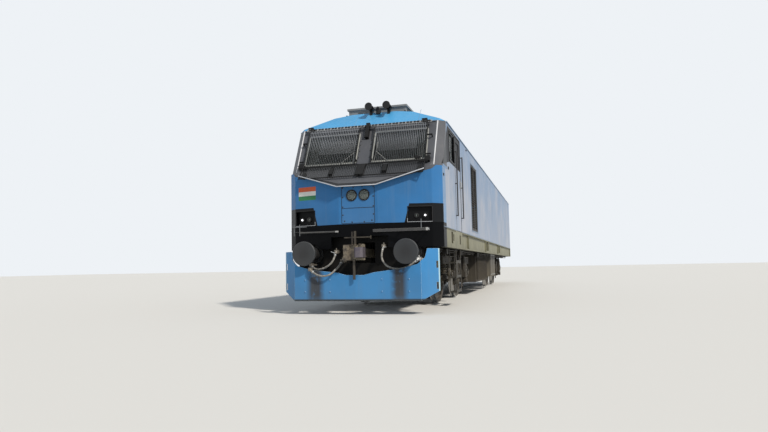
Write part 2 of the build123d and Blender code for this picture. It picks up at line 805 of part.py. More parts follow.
# Roof hatches: station from, station to, top height
lid_top = shoulder_height - 20
deck = well_deck + 20
hatch_edge = hatch_inner - hatch_gap
well_start = bogie_station[1] - 1850
hatch_share = (well_start - cab_length) / 3
hatch_table = [
    (cab_length, cab_length + hatch_share, lid_top),
    (cab_length + hatch_share, cab_length + 2 * hatch_share, lid_top),
    (cab_length + 2 * hatch_share, well_start, lid_top),
    (well_start, wall_rear, deck),
]
hatches = []
for start, end, top in hatch_table:
    lid_under = max(top - 40, ledge_top)
    lid = box(-hatch_edge, hatch_edge, st(start + panel_gap), st(end - panel_gap), lid_under, top)
    for side in (-1, 1):
        x = side * hatch_edge
        lid = lid + box(x, x - side * 30, st(start + panel_gap), st(end - panel_gap), ledge_top, top)
    hatches.append(lid)
well_wall = box(
    -hatch_edge, hatch_edge, st(well_start - panel_gap - 30), st(well_start - panel_gap), ledge_top, lid_top
)
hatches[2] = hatches[2] + well_wall
save("roof_hatches", *hatches)

# Rear end wall with the gangway opening, its bellows and door
gangway_half = 330
gangway_top = 3560
gangway_bottom = sill_top
rear_wall = section_solid(0, sill_top, st(wall_rear), st(body_length))
rear_wall = rear_wall - box(
    -gangway_half, gangway_half, st(wall_rear - 10), st(body_length + 10), gangway_bottom - 1, gangway_top
)
gangway_pin_x = -gangway_half + 14
gangway_leaf_y = st(wall_rear) + 2
gangway_pin_y = gangway_leaf_y - 18
for z in hinge_lug_heights:
    lug_top = z + hinge_lug_tall
    lug_front = gangway_pin_y - 16
    rear_wall = rear_wall + rod_z(z, lug_top, gangway_pin_x, gangway_pin_y, hinge_lug_radius - 1)
    rear_wall = rear_wall + box(
        gangway_pin_x - 60, gangway_pin_x - 15, lug_front, st(wall_rear) + 1, z, lug_top
    )
    rear_wall = rear_wall + box(gangway_pin_x - 16, gangway_pin_x, lug_front, gangway_pin_y, z, lug_top)
rear_wall = rear_wall - rod_z(1700, 3400, gangway_pin_x, gangway_pin_y, hinge_pin_radius + bore_gap)
save("rear_wall", rear_wall)

bellows_reach = 200
fold_count = 6
fold_pitch = bellows_reach / fold_count
fold_share = 0.55
folds = []
for i in range(fold_count):
    y0 = st(body_length) + i * fold_pitch
    y1 = y0 + fold_pitch * fold_share
    for y_from, y_to, grow in ((y0, y1, 70), (y1, y0 + fold_pitch, 40)):
        half = gangway_half + grow
        ring = box(-half, half, y_from, y_to, gangway_bottom - grow + 30, gangway_top + grow)
        passage = box(-gangway_half, gangway_half, y_from - 1, y_to + 1, gangway_bottom + 20, gangway_top)
        ring = ring - passage
        folds.append(ring)
save("gangway_bellows", joined(folds))

gangway_leaf = box(
    -gangway_half + door_clear,
    gangway_half - door_clear,
    gangway_leaf_y,
    gangway_leaf_y + 34,
    gangway_bottom + door_clear,
    gangway_top - door_clear,
)
light_half = 120
light_low = 2900
light_high = 3300
gangway_leaf = gangway_leaf - box(
    -light_half, light_half, gangway_leaf_y - 10, gangway_leaf_y + 50, light_low, light_high
)
gangway_door = gangway_leaf + box(
    -light_half, light_half, gangway_leaf_y + 12, gangway_leaf_y + 22, light_low, light_high
)
for z in hinge_arm_heights:
    gangway_door = gangway_door + box(
        gangway_pin_x - 4, gangway_pin_x + 10, gangway_pin_y, gangway_leaf_y + 1, z, z + hinge_arm_tall
    )
gangway_pin = rod_z(hinge_pin_low, hinge_pin_high, gangway_pin_x, gangway_pin_y, hinge_pin_radius)
save("gangway_door", gangway_door + gangway_pin)

# Cab interior: rear bulkhead, desk and two seats
bulkhead_rear = cab_length - 60
bulkhead_sheet = 40
bulkhead = section_solid(nose_wall + 1, sill_top, st(bulkhead_rear - bulkhead_sheet), st(bulkhead_rear))
bulkhead = bulkhead & cab_inside
bulkhead = bulkhead - box(
    -gangway_half, gangway_half, st(bulkhead_rear - 50), st(bulkhead_rear + 10), sill_top - 1, 3500
)
save("cab_bulkhead", bulkhead)
desk_profile = [
    (st(330), sill_top),
    (st(330), 2560),
    (st(520), 2600),
    (st(820), 2480),
    (st(820), 2420),
    (st(640), 2400),
    (st(640), sill_top),
]
save("driver_desk", prism_x(desk_profile, -1250, 1250))
seat_x = 620
seat_station = 1300
seat_height = 2080
seat_cushion = 110
seats = []
for x in (-seat_x, seat_x):
    cushion_top = seat_height + seat_cushion
    post = rod_z(sill_top, seat_height, x, st(seat_station), 55)
    base = box(x - 230, x + 230, st(seat_station - 230), st(seat_station + 200), seat_height, cushion_top)
    back_profile = [
        (st(seat_station + 140), cushion_top),
        (st(seat_station + 220), cushion_top),
        (st(seat_station + 340), 2860),
        (st(seat_station + 260), 2860),
    ]
    seats.append(joined([post, base, prism_x(back_profile, x - 220, x + 220)]))
save("driver_seats", *seats)

# Handrails of the front end and of the cab doors
front_rail_y = st(-360)
front_left = rod_x(-1165, -385, front_rail_y, 1538, 17)
front_right = box(300, 1340, front_rail_y - 12, front_rail_y + 12, 1508, 1562)
rails = [front_left, front_right]
for x, z in ((-1125, 1538), (-430, 1538), (345, 1536), (820, 1536), (1300, 1536)):
    rails.append(rod_y(front_rail_y, st(-60), x, z, 12) - cab_outside)
door_rail_stand = 45
door_rail_radius = 14
door_rail_low = 1900
door_rail_high = 3300
for side in (-1, 1):
    x = side * (half_width + door_rail_stand)
    for station in (door_front - 60, door_rear + 36):
        rails.append(rod_z(door_rail_low, door_rail_high, x, st(station), door_rail_radius))
        for z in (door_rail_low + 15, (door_rail_low + door_rail_high) / 2, door_rail_high - 15):
            rails.append(rod_x(x, side * half_width, st(station), z, 11))
save("handrails", *joined(rails).solids())

# Steps below the cab doors
step_front = door_front + 20
step_rear = door_rear - 20
step_low = 290
step_inner = half_width - 190
step_outer = half_width - 38
step_sheet = 12
steps = []
for side in (-1, 1):
    outer = side * step_outer
    inner = side * step_inner
    ladder = []
    for station in (step_front, step_rear - 40):
        for x in (outer, inner + side * step_sheet):
            post = box(x, x - side * step_sheet, st(station), st(station + 40), step_low, sill_bottom)
            ladder.append(post)
    for z in (step_low, step_low + 310, step_low + 620):
        ladder.append(box(inner, outer, st(step_front), st(step_rear), z, z + 25))
        ladder.append(box(outer, outer - side * 8, st(step_front), st(step_rear), z, z + 60))
    steps.append(joined(ladder))
save("cab_steps", *steps)

# On the cab's roof: air conditioner and the two horns
ac_half = 630
ac_front = 1090
ac_length = 1100
ac_tall = 185
ac_lid = 40
ac_lid_lap = 30
ac_lid_bottom = roof_height + ac_tall - ac_lid
ac_rear = ac_front + ac_length
crown_cut = section_solid(0, sill_bottom, st(0), st(cab_length))
ac = box(-ac_half, ac_half, st(ac_front), st(ac_rear), roof_height - 40, ac_lid_bottom) - crown_cut
lid_half = ac_half + ac_lid_lap
lid_front = st(ac_front - ac_lid_lap)
lid_rear = st(ac_rear + ac_lid_lap)
ac = ac + box(-lid_half, lid_half, lid_front, lid_rear, ac_lid_bottom, ac_lid_bottom + ac_lid)
save("air_conditioner", ac)
horn_rise = 87
horn_height = roof_height + horn_rise
horn_front = 630
horn_bell = 120
horn_body = 155
horn_stalk = 30
horns = []
for x in (-52, 328):
    bell_rear = horn_front + horn_bell
    cone = Pos(x, st(horn_front + horn_bell / 2), horn_height) * Rot(-90, 0, 0) * Cone(78, 36, horn_bell)
    tube = rod_y(st(bell_rear), st(bell_rear + horn_body), x, horn_height, 38)
    drum = rod_y(st(bell_rear + 40), st(bell_rear + 110), x, horn_height, 62)
    foot_front = st(bell_rear + horn_body - 90)
    foot = box(
        x - horn_stalk, x + horn_stalk, foot_front, st(bell_rear + horn_body), horn_height - 320, horn_height
    )
    horns.append(joined([cone, tube, drum, foot]) - cab_outside)
save("horns", *horns)

# Wheelsets: axle, two flanged wheels and journals in one solid
wheel_radius = 625
flange_radius = wheel_radius + flange_height
wheel_back = 798
flange_thick = 32
wheel_width = 140
rim_inner = 545
web_half = 22
hub_radius = 150
axle_radius = 100
journal_radius = 80
journal_end = 1165
axle_height = flange_radius
wheel_base = 2600
wheel_front = wheel_back + wheel_width


def wheelset(y):
    wheel_outline = [
        (wheel_back, rim_inner),
        (wheel_back, flange_radius - 8),
        (wheel_back + 8, flange_radius),
        (wheel_back + 20, flange_radius),
        (wheel_back + flange_thick, wheel_radius + 6),
        (wheel_back + flange_thick + 16, wheel_radius),
        (wheel_front - 12, wheel_radius - 4),
        (wheel_front, wheel_radius - 14),
        (wheel_front, rim_inner),
        (wheel_back + 82 + web_half, rim_inner - 30),
        (wheel_back + 62 + web_half, hub_radius + 40),
        (wheel_front + 8, hub_radius),
        (wheel_front + 8, axle_radius - 10),
        (wheel_back - 10, axle_radius - 10),
        (wheel_back - 10, hub_radius),
        (wheel_back + 62 - web_half, hub_radius + 40),
        (wheel_back + 82 - web_half, rim_inner - 30),
    ]
    disc = revolve(Polygon(*wheel_outline, align=None), axis=Axis.X)
    disc = Pos(0, y, axle_height) * disc
    axle = rod_x(-wheel_front - 20, wheel_front + 20, y, axle_height, axle_radius)
    journals = rod_x(-journal_end, journal_end, y, axle_height, journal_radius)
    return joined(both_sides(disc) + [axle, journals])


# Bogies: frame, suspension and motors, placed about their pivot pins
frame_inner = 1010
frame_outer = 1170
frame_reach = 2060
spring_offset = 270
spring_x = (frame_inner + frame_outer) / 2
secondary_y = 330
seat_gap = 0.3
case_half = 150


def spring(x, y, z0, z1, radius, coils):
    pitch = (z1 - z0) / coils
    groove = 26
    outline = [(0, 0), (radius, 0)]
    for i in range(coils):
        outline.append((radius, pitch * (i + 0.3)))
        outline.append((radius - groove, pitch * (i + 0.5)))
        outline.append((radius - groove, pitch * (i + 0.8)))
        outline.append((radius, pitch * (i + 1)))
    outline.append((0, z1 - z0))
    body = revolve(Plane.XZ * Polygon(*outline, align=None), axis=Axis.Z)
    return Pos(x, y, z0) * body


def bogie_frame(centre):
    half_outline = [
        (frame_reach, 900),
        (860, 900),
        (640, 640),
    ]
    top_outline = [
        (600, 900),
        (800, 1090),
        (frame_reach, 1090),
    ]
    outline = [(-y, z) for y, z in top_outline[::-1]] + top_outline
    outline = outline + half_outline + [(-y, z) for y, z in half_outline[::-1]]
    side_outline = [(centre + y, z) for y, z in outline]
    sides = both_sides(prism_x(side_outline, frame_inner, frame_outer))
    transom = box(-frame_inner, frame_inner, centre - 250, centre + 250, 640, 880)
    pieces = sides + [transom]
    for way in (-1, 1):
        end_in = centre + way * (frame_reach - 85)
        pieces.append(box(-frame_outer, frame_outer, end_in, centre + way * frame_reach, 930, 1060))
        # Brake unit hung outside the frame, with its arm, and a sand pipe
        brake_y = centre + way * 740
        brake = box(frame_outer, 1285, brake_y - 120, brake_y + 120, 560, 980)
        brake = brake + rod_x(frame_outer, 1300, brake_y, 480, 70)
        brake = brake + box(frame_outer, 1215, brake_y - 60, brake_y + 60, 400, 570)
        damper_y = centre + way * 470
        damper = rod_z(720, 1160, 1250, damper_y, 36) + rod_z(860, 1040, 1250, damper_y, 46)
        damper = damper + box(frame_outer, 1290, damper_y - 40, damper_y + 40, 690, 740)
        sand_y = centre + way * 1990
        sand = rod_z(250, 940, frame_inner - 40, sand_y, 22)
        sand = sand + box(900, frame_outer, sand_y - 60, sand_y + 60, 900, 960)
        for piece in (brake, damper, sand):
            pieces.extend(both_sides(piece))
    return joined(pieces) - rod_z(500, 1200, 0, centre, pivot_pin_radius + bore_gap)


def bogie_suspension(centre):
    pieces = []
    for way in (-1, 1):
        y = centre + way * wheel_base / 2
        case_low = axle_height - case_half
        case_high = axle_height + case_half
        case = box(frame_inner - 25, frame_outer + 20, y - case_half, y + case_half, case_low, case_high)
        wing_high = axle_height - 33
        wing = box(spring_x - 90, spring_x + 90, y - 370, y + 370, wing_high - 60, wing_high)
        cap = rod_x(frame_outer + 20, frame_outer + 50, y, axle_height, 115)
        cap = cap + rod_x(frame_outer + 50, frame_outer + 80, y, axle_height, 60)
        axlebox = joined([case, wing, cap])
        bore = rod_x(frame_inner - 60, journal_end + 6, y, axle_height, journal_radius + bore_gap)
        axlebox = axlebox - bore
        for sign in (-1, 1):
            axlebox = axlebox + spring(spring_x, y + sign * spring_offset, wing_high, 900, 85, 5)
        pieces.extend(both_sides(axlebox))
        high = spring(spring_x, centre + way * secondary_y, 900, sill_bottom - seat_gap, 120, 6)
        pieces.extend(both_sides(high))
    return pieces


def bogie_motors(centre):
    motor_height = 720
    motors = []
    for way in (-1, 1):
        axle_y = centre + way * wheel_base / 2
        motor_y = centre + way * 760
        body = rod_x(-520, 440, motor_y, motor_height, 300)
        gear = rod_x(470, 640, motor_y, motor_height, 260) + rod_x(470, 640, axle_y, axle_height, 300)
        gear = gear + box(470, 640, motor_y, axle_y, 500, 840)
        link = rod_x(430, 480, motor_y, motor_height, 200)
        bracket = box(-300, 300, centre + way * 250, centre + way * 520, 680, 800)
        motor = joined([body, gear, link, bracket])
        motors.append(motor - rod_x(-900, 900, axle_y, axle_height, axle_radius + 8))
    return motors


bogie_table = [
    ("front", st(bogie_station[0]), (1, 2)),
    ("rear", st(bogie_station[1]), (3, 4)),
]
for name, centre, numbers in bogie_table:
    save("bogie_frame_" + name, bogie_frame(centre))
    save("bogie_suspension_" + name, *bogie_suspension(centre))
    save("traction_motors_" + name, *bogie_motors(centre))
    for way, number in zip((-1, 1), numbers):
        save("wheelset_" + str(number), wheelset(centre + way * wheel_base / 2))

# Body bolsters over the secondary springs
bolsters = []
for station in bogie_station:
    bolster = box(960, sill_inner, st(station - 520), st(station + 520), sill_bottom, floor_bottom)
    bolsters.extend(both_sides(bolster))
save("body_bolsters", *[bolster - underframe for bolster in bolsters])

# Transformer tank with cooling ribs, and gear slung between the bogies
tank_front = bogie_middle - 2500
tank_rear = bogie_middle + 550
tank_half = 1290
tank_bottom = 360
hung_top = beam_bottom
rib_pitch = 180
tank = box(-tank_half, tank_half, st(tank_front), st(tank_rear), tank_bottom, hung_top)
rib_count = int((tank_rear - tank_front - 200) / rib_pitch)
for i in range(rib_count):
    y = st(tank_front + 130 + i * rib_pitch)
    for side in (-1, 1):
        rib = box(side * tank_half, side * (tank_half + 55), y, y + 40, tank_bottom + 60, hung_top - 120)
        tank = tank + rib
save("transformer_tank", tank)
box_front = tank_rear + 350
box_rear = box_front + 1650
box_middle = (box_front + box_rear) / 2
chest_inner = 640
chest_outer = 1380
chest_bottom = 450
reservoir_x = 290
reservoir_height = 950
reservoir_radius = 210
boxes = []
for side in (-1, 1):
    lid_x = side * chest_outer
    chest = box(side * chest_inner, lid_x, st(box_front), st(box_rear), chest_bottom, hung_top)
    for lid_from, lid_to in ((box_front + 60, box_middle - 45), (box_middle + 45, box_rear - 60)):
        lid = box(lid_x, lid_x + side * 16, st(lid_from), st(lid_to), chest_bottom + 70, hung_top - 60)
        chest = chest + lid
    boxes.append(chest)
    x = side * reservoir_x
    reservoir = rod_y(st(box_front), st(box_rear), x, reservoir_height, reservoir_radius)
    for y in (st(box_front + 300), st(box_rear - 300)):
        reservoir = reservoir + box(x - 40, x + 40, y - 40, y + 40, reservoir_height, hung_top)
    boxes.append(reservoir)
save("underfloor_boxes", *boxes)

# Pantograph, lowered. Angles from level, in degrees
panto_station = bogie_station[1] - 250
panto_pivot_height = 4030
lower_arm_length = 1550
upper_arm_length = 1620
lower_arm_angle = 2.0
upper_arm_angle = 1.5
crank_length = 200
crank_angle = 11.3
rod_pivot_ahead = 488
rod_pivot_drop = 21
rod_length = 1277
rod_side_x = -260
panto_y = st(panto_station)
elbow_y = panto_y + lower_arm_length * cos(radians(lower_arm_angle))
elbow_z = panto_pivot_height + lower_arm_length * sin(radians(lower_arm_angle))
apex_y = elbow_y - upper_arm_length * cos(radians(upper_arm_angle))
apex_z = elbow_z + upper_arm_length * sin(radians(upper_arm_angle))
crank_y = elbow_y + crank_length * cos(radians(crank_angle))
crank_z = elbow_z + crank_length * sin(radians(crank_angle))
thrust_y = panto_y + rod_pivot_ahead
thrust_z = panto_pivot_height - rod_pivot_drop
thrust_angle = atan2(crank_z - thrust_z, crank_y - thrust_y)

base_bottom = 3930
base_top = 3970
base_half = 520
base_bar = 60
base_front = panto_y - 350
base_rear = panto_y + 1050
pivot_radius = 20
thrust_pin_radius = 14
base = []
for side in (-1, 1):
    x = side * base_half
    base.append(box(x, x - side * base_bar, base_front, base_rear, base_bottom, base_top))
    for y in (base_front + base_bar, base_rear - base_bar):
        x = side * (base_half - base_bar / 2)
        insulator = rod_z(deck, base_bottom, x, y, 45)
        shed_pitch = (base_bottom - deck - 20) / 4
        for i in range(4):
            z = deck + 15 + i * shed_pitch
            insulator = insulator + rod_z(z, z + 14, x, y, 85)
        base.append(insulator)
    lug = box(side * 230, side * 260, panto_y - 60, panto_y + 60, base_bottom, panto_pivot_height + 45)
    base.append(lug - rod_x(-400, 400, panto_y, panto_pivot_height, pivot_radius + bore_gap))
for y in (panto_y, thrust_y, base_rear - 40):
    base.append(box(-base_half, base_half, y - 40, y + 40, base_bottom, base_top))
base.append(box(-320, -292, thrust_y - 35, thrust_y + 35, base_bottom, thrust_z + 30))
base.append(rod_x(-294, -242, thrust_y, thrust_z, thrust_pin_radius))
save("pantograph_base", joined(base))

lower_pin = rod_x(-262, 262, panto_y, panto_pivot_height, pivot_radius)
lower_hub = rod_x(-215, 215, panto_y, panto_pivot_height, 46)
lower_tube = bar_between((0, panto_y, panto_pivot_height), (0, elbow_y, elbow_z), 42)
elbow_hub = rod_x(-40, 40, elbow_y, elbow_z, 44)
elbow_pin = rod_x(-72, 72, elbow_y, elbow_z, thrust_pin_radius)
save("pantograph_lower_arm", joined([lower_pin, lower_hub, lower_tube, elbow_hub, elbow_pin]))

thrust_head_y = thrust_y + rod_length * cos(thrust_angle)
thrust_head_z = thrust_z + rod_length * sin(thrust_angle)
thrust_eye = 37
thrust = bar_between((rod_side_x, thrust_y, thrust_z), (rod_side_x, thrust_head_y, thrust_head_z), 15)
thrust = thrust + rod_x(-275, -245, thrust_y, thrust_z, 30)
thrust = thrust + rod_x(-275, -245, thrust_head_y, thrust_head_z, thrust_eye + 15)
thrust = thrust - rod_x(-300, -200, thrust_head_y, thrust_head_z, thrust_eye)
thrust = thrust - rod_x(-300, -200, thrust_y, thrust_z, thrust_pin_radius + bore_gap)
save("pantograph_thrust_rod", thrust)

apex_half = 400
arm_tube = 17
fork_x = 61
upper = []
for side in (-1, 1):
    elbow = (side * fork_x, elbow_y, elbow_z)
    upper.append(rod_x(side * 50, side * 72, elbow_y, elbow_z, 40))
    upper.append(bar_between(elbow, (side * 380, apex_y, apex_z), arm_tube))
    upper.append(bar_between(elbow, (side * fork_x, crank_y, crank_z), arm_tube))
upper.append(rod_x(-282, 75, crank_y, crank_z, thrust_pin_radius))
upper.append(rod_x(-apex_half, apex_half, apex_y, apex_z, arm_tube))
upper_arm = joined(upper) - rod_x(-45, 45, elbow_y, elbow_z, 60)
save("pantograph_upper_arm", upper_arm - rod_x(-90, 90, elbow_y, elbow_z, thrust_pin_radius + bore_gap))

strip_top = 4283
strip_y = 260
strip_half_width = 22
horn_reach = 1010
hub_x = 312
strip_right = [
    (horn_reach, strip_top - 190),
    (horn_reach - 24, strip_top - 198),
    (780, strip_top - 60),
    (640, strip_top - 30),
]
strip_over = [
    (650, strip_top),
    (800, strip_top - 34),
]
strip_outline = strip_over + strip_right
strip_outline = strip_outline + [(-x, z) for x, z in reversed(strip_outline)]
head = []
for side in (-1, 1):
    x = side * hub_x
    hub = rod_x(x - 22, x + 22, apex_y, apex_z, 34)
    arm = box(x - 17, x + 17, apex_y - strip_y, apex_y + strip_y, apex_z + 30, apex_z + 66)
    post = box(x - 17, x + 17, apex_y - 25, apex_y + 25, apex_z, apex_z + 50)
    head.extend([hub, arm, post])
    y = apex_y + side * strip_y
    head.append(prism_y(strip_outline, y - strip_half_width, y + strip_half_width))
    for x in (-hub_x, hub_x):
        head.append(box(x - 12, x + 12, y - 15, y + 15, apex_z + 40, strip_top - 20))
save("pantograph_head", joined(head) - rod_x(-500, 500, apex_y, apex_z, arm_tube + bore_gap))

# High-voltage line: circuit breaker with its insulator and contact bar
breaker_y = st(bogie_station[1] + 2200)
breaker_rise = 60
breaker_sheds = 5
breaker_shed_pitch = 40
breaker_base = deck + breaker_rise
breaker = rod_z(deck, breaker_base, 0, breaker_y, 150)
for i in range(breaker_sheds):
    z = breaker_base + i * breaker_shed_pitch
    breaker = breaker + rod_z(z, z + 14, 0, breaker_y, 105)
breaker_top = breaker_base + breaker_sheds * breaker_shed_pitch
breaker = breaker + rod_z(breaker_base, breaker_top, 0, breaker_y, 60)
breaker = breaker + box(-60, 60, breaker_y - 320, breaker_y + 90, breaker_top - 40, breaker_top + 10)
save("roof_breaker", breaker)

# Air pipes at the headstock with their cocks, and the hoses between them
hose_diameter = 36
plough_rest = plough_nose + plough_plate * 2
# Name, station that holds the far end, points across, station, height above
# the rail
hose_table = [
    (
        "air_hose_1",
        headstock_front,
        [
            (-462, -330, 1080),
            (-464, -390, 1000),
            (-515, -440, 905),
            (-615, -455, 838),
            (-735, -445, 803),
            (-840, -422, 815),
            (-905, -375, 860),
        ],
    ),
    (
        "air_hose_2",
        plough_rest,
        [
            (-350, -330, 920),
            (-352, -420, 865),
            (-385, -535, 800),
            (-460, -590, 712),
            (-570, -602, 682),
            (-680, -596, 692),
            (-765, -584, 720),
            (-825, -575, 768),
        ],
    ),
    (
        "air_hose_3",
        headstock_front,
        [
            (470, -330, 1160),
            (462, -385, 1080),
            (478, -430, 975),
            (550, -455, 868),
            (665, -465, 805),
            (800, -463, 788),
            (925, -448, 815),
            (1025, -418, 866),
            (1100, -375, 928),
        ],
    ),
]
socket_length = 70
socket_radius = 26
pipe_radius = 20
block_half = 33
block_depth = 78
cocks = []
for name, far_rest, table in hose_table:
    points = [Vector(x, st(y), z + rail_top) for x, y, z in table]
    radii = []
    for before, corner, after in zip(points, points[1:], points[2:]):
        shorter = min((corner - before).length, (after - corner).length)
        half_turn = radians((corner - before).get_angle(after - corner)) / 2
        radii.append(0.45 * shorter / tan(half_turn))
    path = FilletPolyline(*points, radius=radii)
    start = Plane(origin=points[0], z_dir=path % 0)
    save(name, sweep(start * Circle(hose_diameter / 2), path=path))
    print(name, "length", round(path.length), "radii", [round(r) for r in radii])
    ends = [(points[0], path % 0, headstock_front), (points[-1], (path % 1) * -1, far_rest)]
    for end, inward, rest in ends:
        tip = end - inward * socket_length
        socket = extrude(Plane(origin=end, z_dir=inward * -1) * Circle(socket_radius), amount=socket_length)
        block_rear = min(tip.Y + block_depth, st(rest))
        low = tip.Z - block_half
        high = tip.Z + block_half
        cock = socket + box(tip.X - block_half, tip.X + block_half, tip.Y - 8, block_rear, low, high)
        if block_rear < st(rest):
            cock = cock + rod_y(block_rear - 10, st(rest), tip.X, tip.Z, pipe_radius)
            cock = cock + box(tip.X - 8, tip.X + 8, tip.Y + 20, tip.Y + 37, high, high + 34)
        cocks.append(cock - plough)
save("hose_cocks", *cocks)
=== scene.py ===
import math

import bmesh
import bpy
from mathutils import Matrix, Vector


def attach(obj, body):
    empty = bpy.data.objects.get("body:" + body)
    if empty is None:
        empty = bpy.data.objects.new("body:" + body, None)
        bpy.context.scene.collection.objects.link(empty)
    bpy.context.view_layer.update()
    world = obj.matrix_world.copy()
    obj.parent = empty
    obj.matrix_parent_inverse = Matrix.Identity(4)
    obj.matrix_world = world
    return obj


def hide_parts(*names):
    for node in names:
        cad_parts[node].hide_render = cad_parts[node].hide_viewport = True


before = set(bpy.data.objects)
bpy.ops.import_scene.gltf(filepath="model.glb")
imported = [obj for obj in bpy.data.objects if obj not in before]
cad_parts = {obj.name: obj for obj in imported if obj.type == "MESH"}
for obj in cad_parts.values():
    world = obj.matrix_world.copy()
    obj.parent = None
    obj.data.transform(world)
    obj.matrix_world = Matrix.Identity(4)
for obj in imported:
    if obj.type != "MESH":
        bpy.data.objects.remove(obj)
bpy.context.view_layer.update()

# Camera. It stands beside the track ahead of the cab, at about knee height over
# the rail, and looks slightly up. Heights count from the wheel flanges, and
# stations count from the plane of the cab's front corners towards the rear.
FRONT = -8.93
RAIL = 0.028
CAMERA_PLACE = (3.479, FRONT - 10.954, 0.846 + RAIL)
CAMERA_YAW = math.radians(15.626)
CAMERA_PITCH = math.radians(4.802)
CAMERA_ROLL = math.radians(-1.099)
FOCAL_MM = 28.0

look = Vector(
    (
        -math.sin(CAMERA_YAW) * math.cos(CAMERA_PITCH),
        math.cos(CAMERA_YAW) * math.cos(CAMERA_PITCH),
        math.sin(CAMERA_PITCH),
    )
)
level = Vector((math.cos(CAMERA_YAW), math.sin(CAMERA_YAW), 0))
upward = level.cross(look)
across = math.cos(CAMERA_ROLL) * level + math.sin(CAMERA_ROLL) * upward
upward = across.cross(look)
lens = bpy.data.cameras.new("camera")
lens.lens = FOCAL_MM
lens.sensor_width = 36
lens.clip_end = 400
camera = bpy.data.objects.new("camera", lens)
camera.matrix_world = Matrix((across, upward, -look)).transposed().to_4x4()
camera.location = CAMERA_PLACE
bpy.context.scene.collection.objects.link(camera)
bpy.context.scene.camera = camera
bpy.context.scene.view_settings.view_transform = "Standard"


# Studio. A pale floor under the wheels, an even pale surround that also shows in
# glass and gloss, and one broad warm lamp high on the right of the cab.
def linear(code):
    parts = [int(code[i : i + 2], 16) / 255 for i in (1, 3, 5)]
    return [p / 12.92 if p <= 0.04045 else ((p + 0.055) / 1.055) ** 2.4 for p in parts] + [1.0]


def add(tree, kind, *inputs, **named):
    """Add a node. Named values are its settings, or its sockets by their names."""
    made = tree.nodes.new("ShaderNode" + kind)
    sockets = list(zip(made.inputs, inputs))
    for key, value in named.items():
        if hasattr(made, key):
            setattr(made, key, value)
        else:
            sockets.append((made.inputs[key.replace("_", " ")], value))
    for socket, value in sockets:
        value = value.outputs[0] if isinstance(value, bpy.types.Node) else value
        if isinstance(value, bpy.types.NodeSocket):
            tree.links.new(value, socket)
        elif value is not None:
            socket.default_value = value
    return made


SOFT_LIGHT = 0.52
BACKDROP_LIGHT = 1.0
KEY_LIGHT = 3.4
KEY_WIDTH = math.radians(4)
KEY_FROM = Vector((0.60, -0.42, 0.68))
world = bpy.data.worlds.new("studio")
bpy.context.scene.world = world
world.use_nodes = True
tree = world.node_tree
tree.nodes.clear()
path = add(tree, "LightPath")
seen = add(tree, "Math", path.outputs["Is Camera Ray"], path.outputs["Is Glossy Ray"], operation="MAXIMUM")
seen = add(tree, "Math", seen, path.outputs["Is Transmission Ray"], operation="MAXIMUM")
soft_light = add(tree, "Background", linear("#DCE6F2"), SOFT_LIGHT)
backdrop = add(tree, "Background", linear("#EEF2F6"), BACKDROP_LIGHT)
mixed = add(tree, "MixShader", seen, soft_light, backdrop)
add(tree, "OutputWorld", mixed)

key = bpy.data.lights.new("key", "SUN")
key.energy = KEY_LIGHT
key.angle = KEY_WIDTH
key.color = linear("#FFF6EA")[:3]
key_lamp = bpy.data.objects.new("key", key)
key_lamp.rotation_euler = KEY_FROM.to_track_quat("Z", "Y").to_euler()
bpy.context.scene.collection.objects.link(key_lamp)


def finish(name, build):
    """A material whose shader is made by build(tree, place), place in metres."""
    made = bpy.data.materials.new(name)
    made.use_nodes = True
    made.node_tree.nodes.clear()
    place = add(made.node_tree, "TexCoord").outputs["Object"]
    add(made.node_tree, "OutputMaterial", build(made.node_tree, place))
    return made


def floor_paint(tree, place):
    return add(tree, "BsdfPrincipled", linear("#D6D6D3"), Roughness=0.9, Specular_IOR_Level=0.2)


FLOOR_HALF = 150.0
ground = bmesh.new()
bmesh.ops.create_grid(ground, x_segments=1, y_segments=1, size=FLOOR_HALF)
floor_mesh = bpy.data.meshes.new("floor")
ground.to_mesh(floor_mesh)
ground.free()
floor_mesh.materials.append(finish("floor_paint", floor_paint))
floor = bpy.data.objects.new("floor", floor_mesh)
bpy.context.scene.collection.objects.link(floor)


# Air hoses. Fibre-braided rubber, 36 mm thick, pushed on a socket at both ends and
# held by clamps. Sun and dust have turned the black rubber a dry pale grey.
def grain(millimetres):
    """Pattern scale whose features are about this wide, on coordinates in metres."""
    return 1000 / millimetres


def rubber(base, dust):
    def build(tree, place):
        blotch = add(tree, "TexNoise", place, None, grain(45), 4.0, 0.6)
        laid = add(tree, "MapRange", blotch, 0.35, 0.65, 0.1, 0.8)
        shown = add(tree, "MixRGB", laid, linear(base), linear(dust))
        fine = add(tree, "TexNoise", place, None, grain(4), 2.0, 0.5)
        dull = add(tree, "MapRange", blotch, 0.3, 0.7, 0.55, 0.85)
        relief = add(tree, "Bump", Strength=0.5, Distance=0.0006, Height=fine)
        return add(tree, "BsdfPrincipled", shown, Roughness=dull, Normal=relief, IOR=1.52)

    return build


hose_rubber = finish("braided_hose_rubber", rubber("#4C4B4A", "#A3A19A"))
HOSE_DIAMETER = 0.036
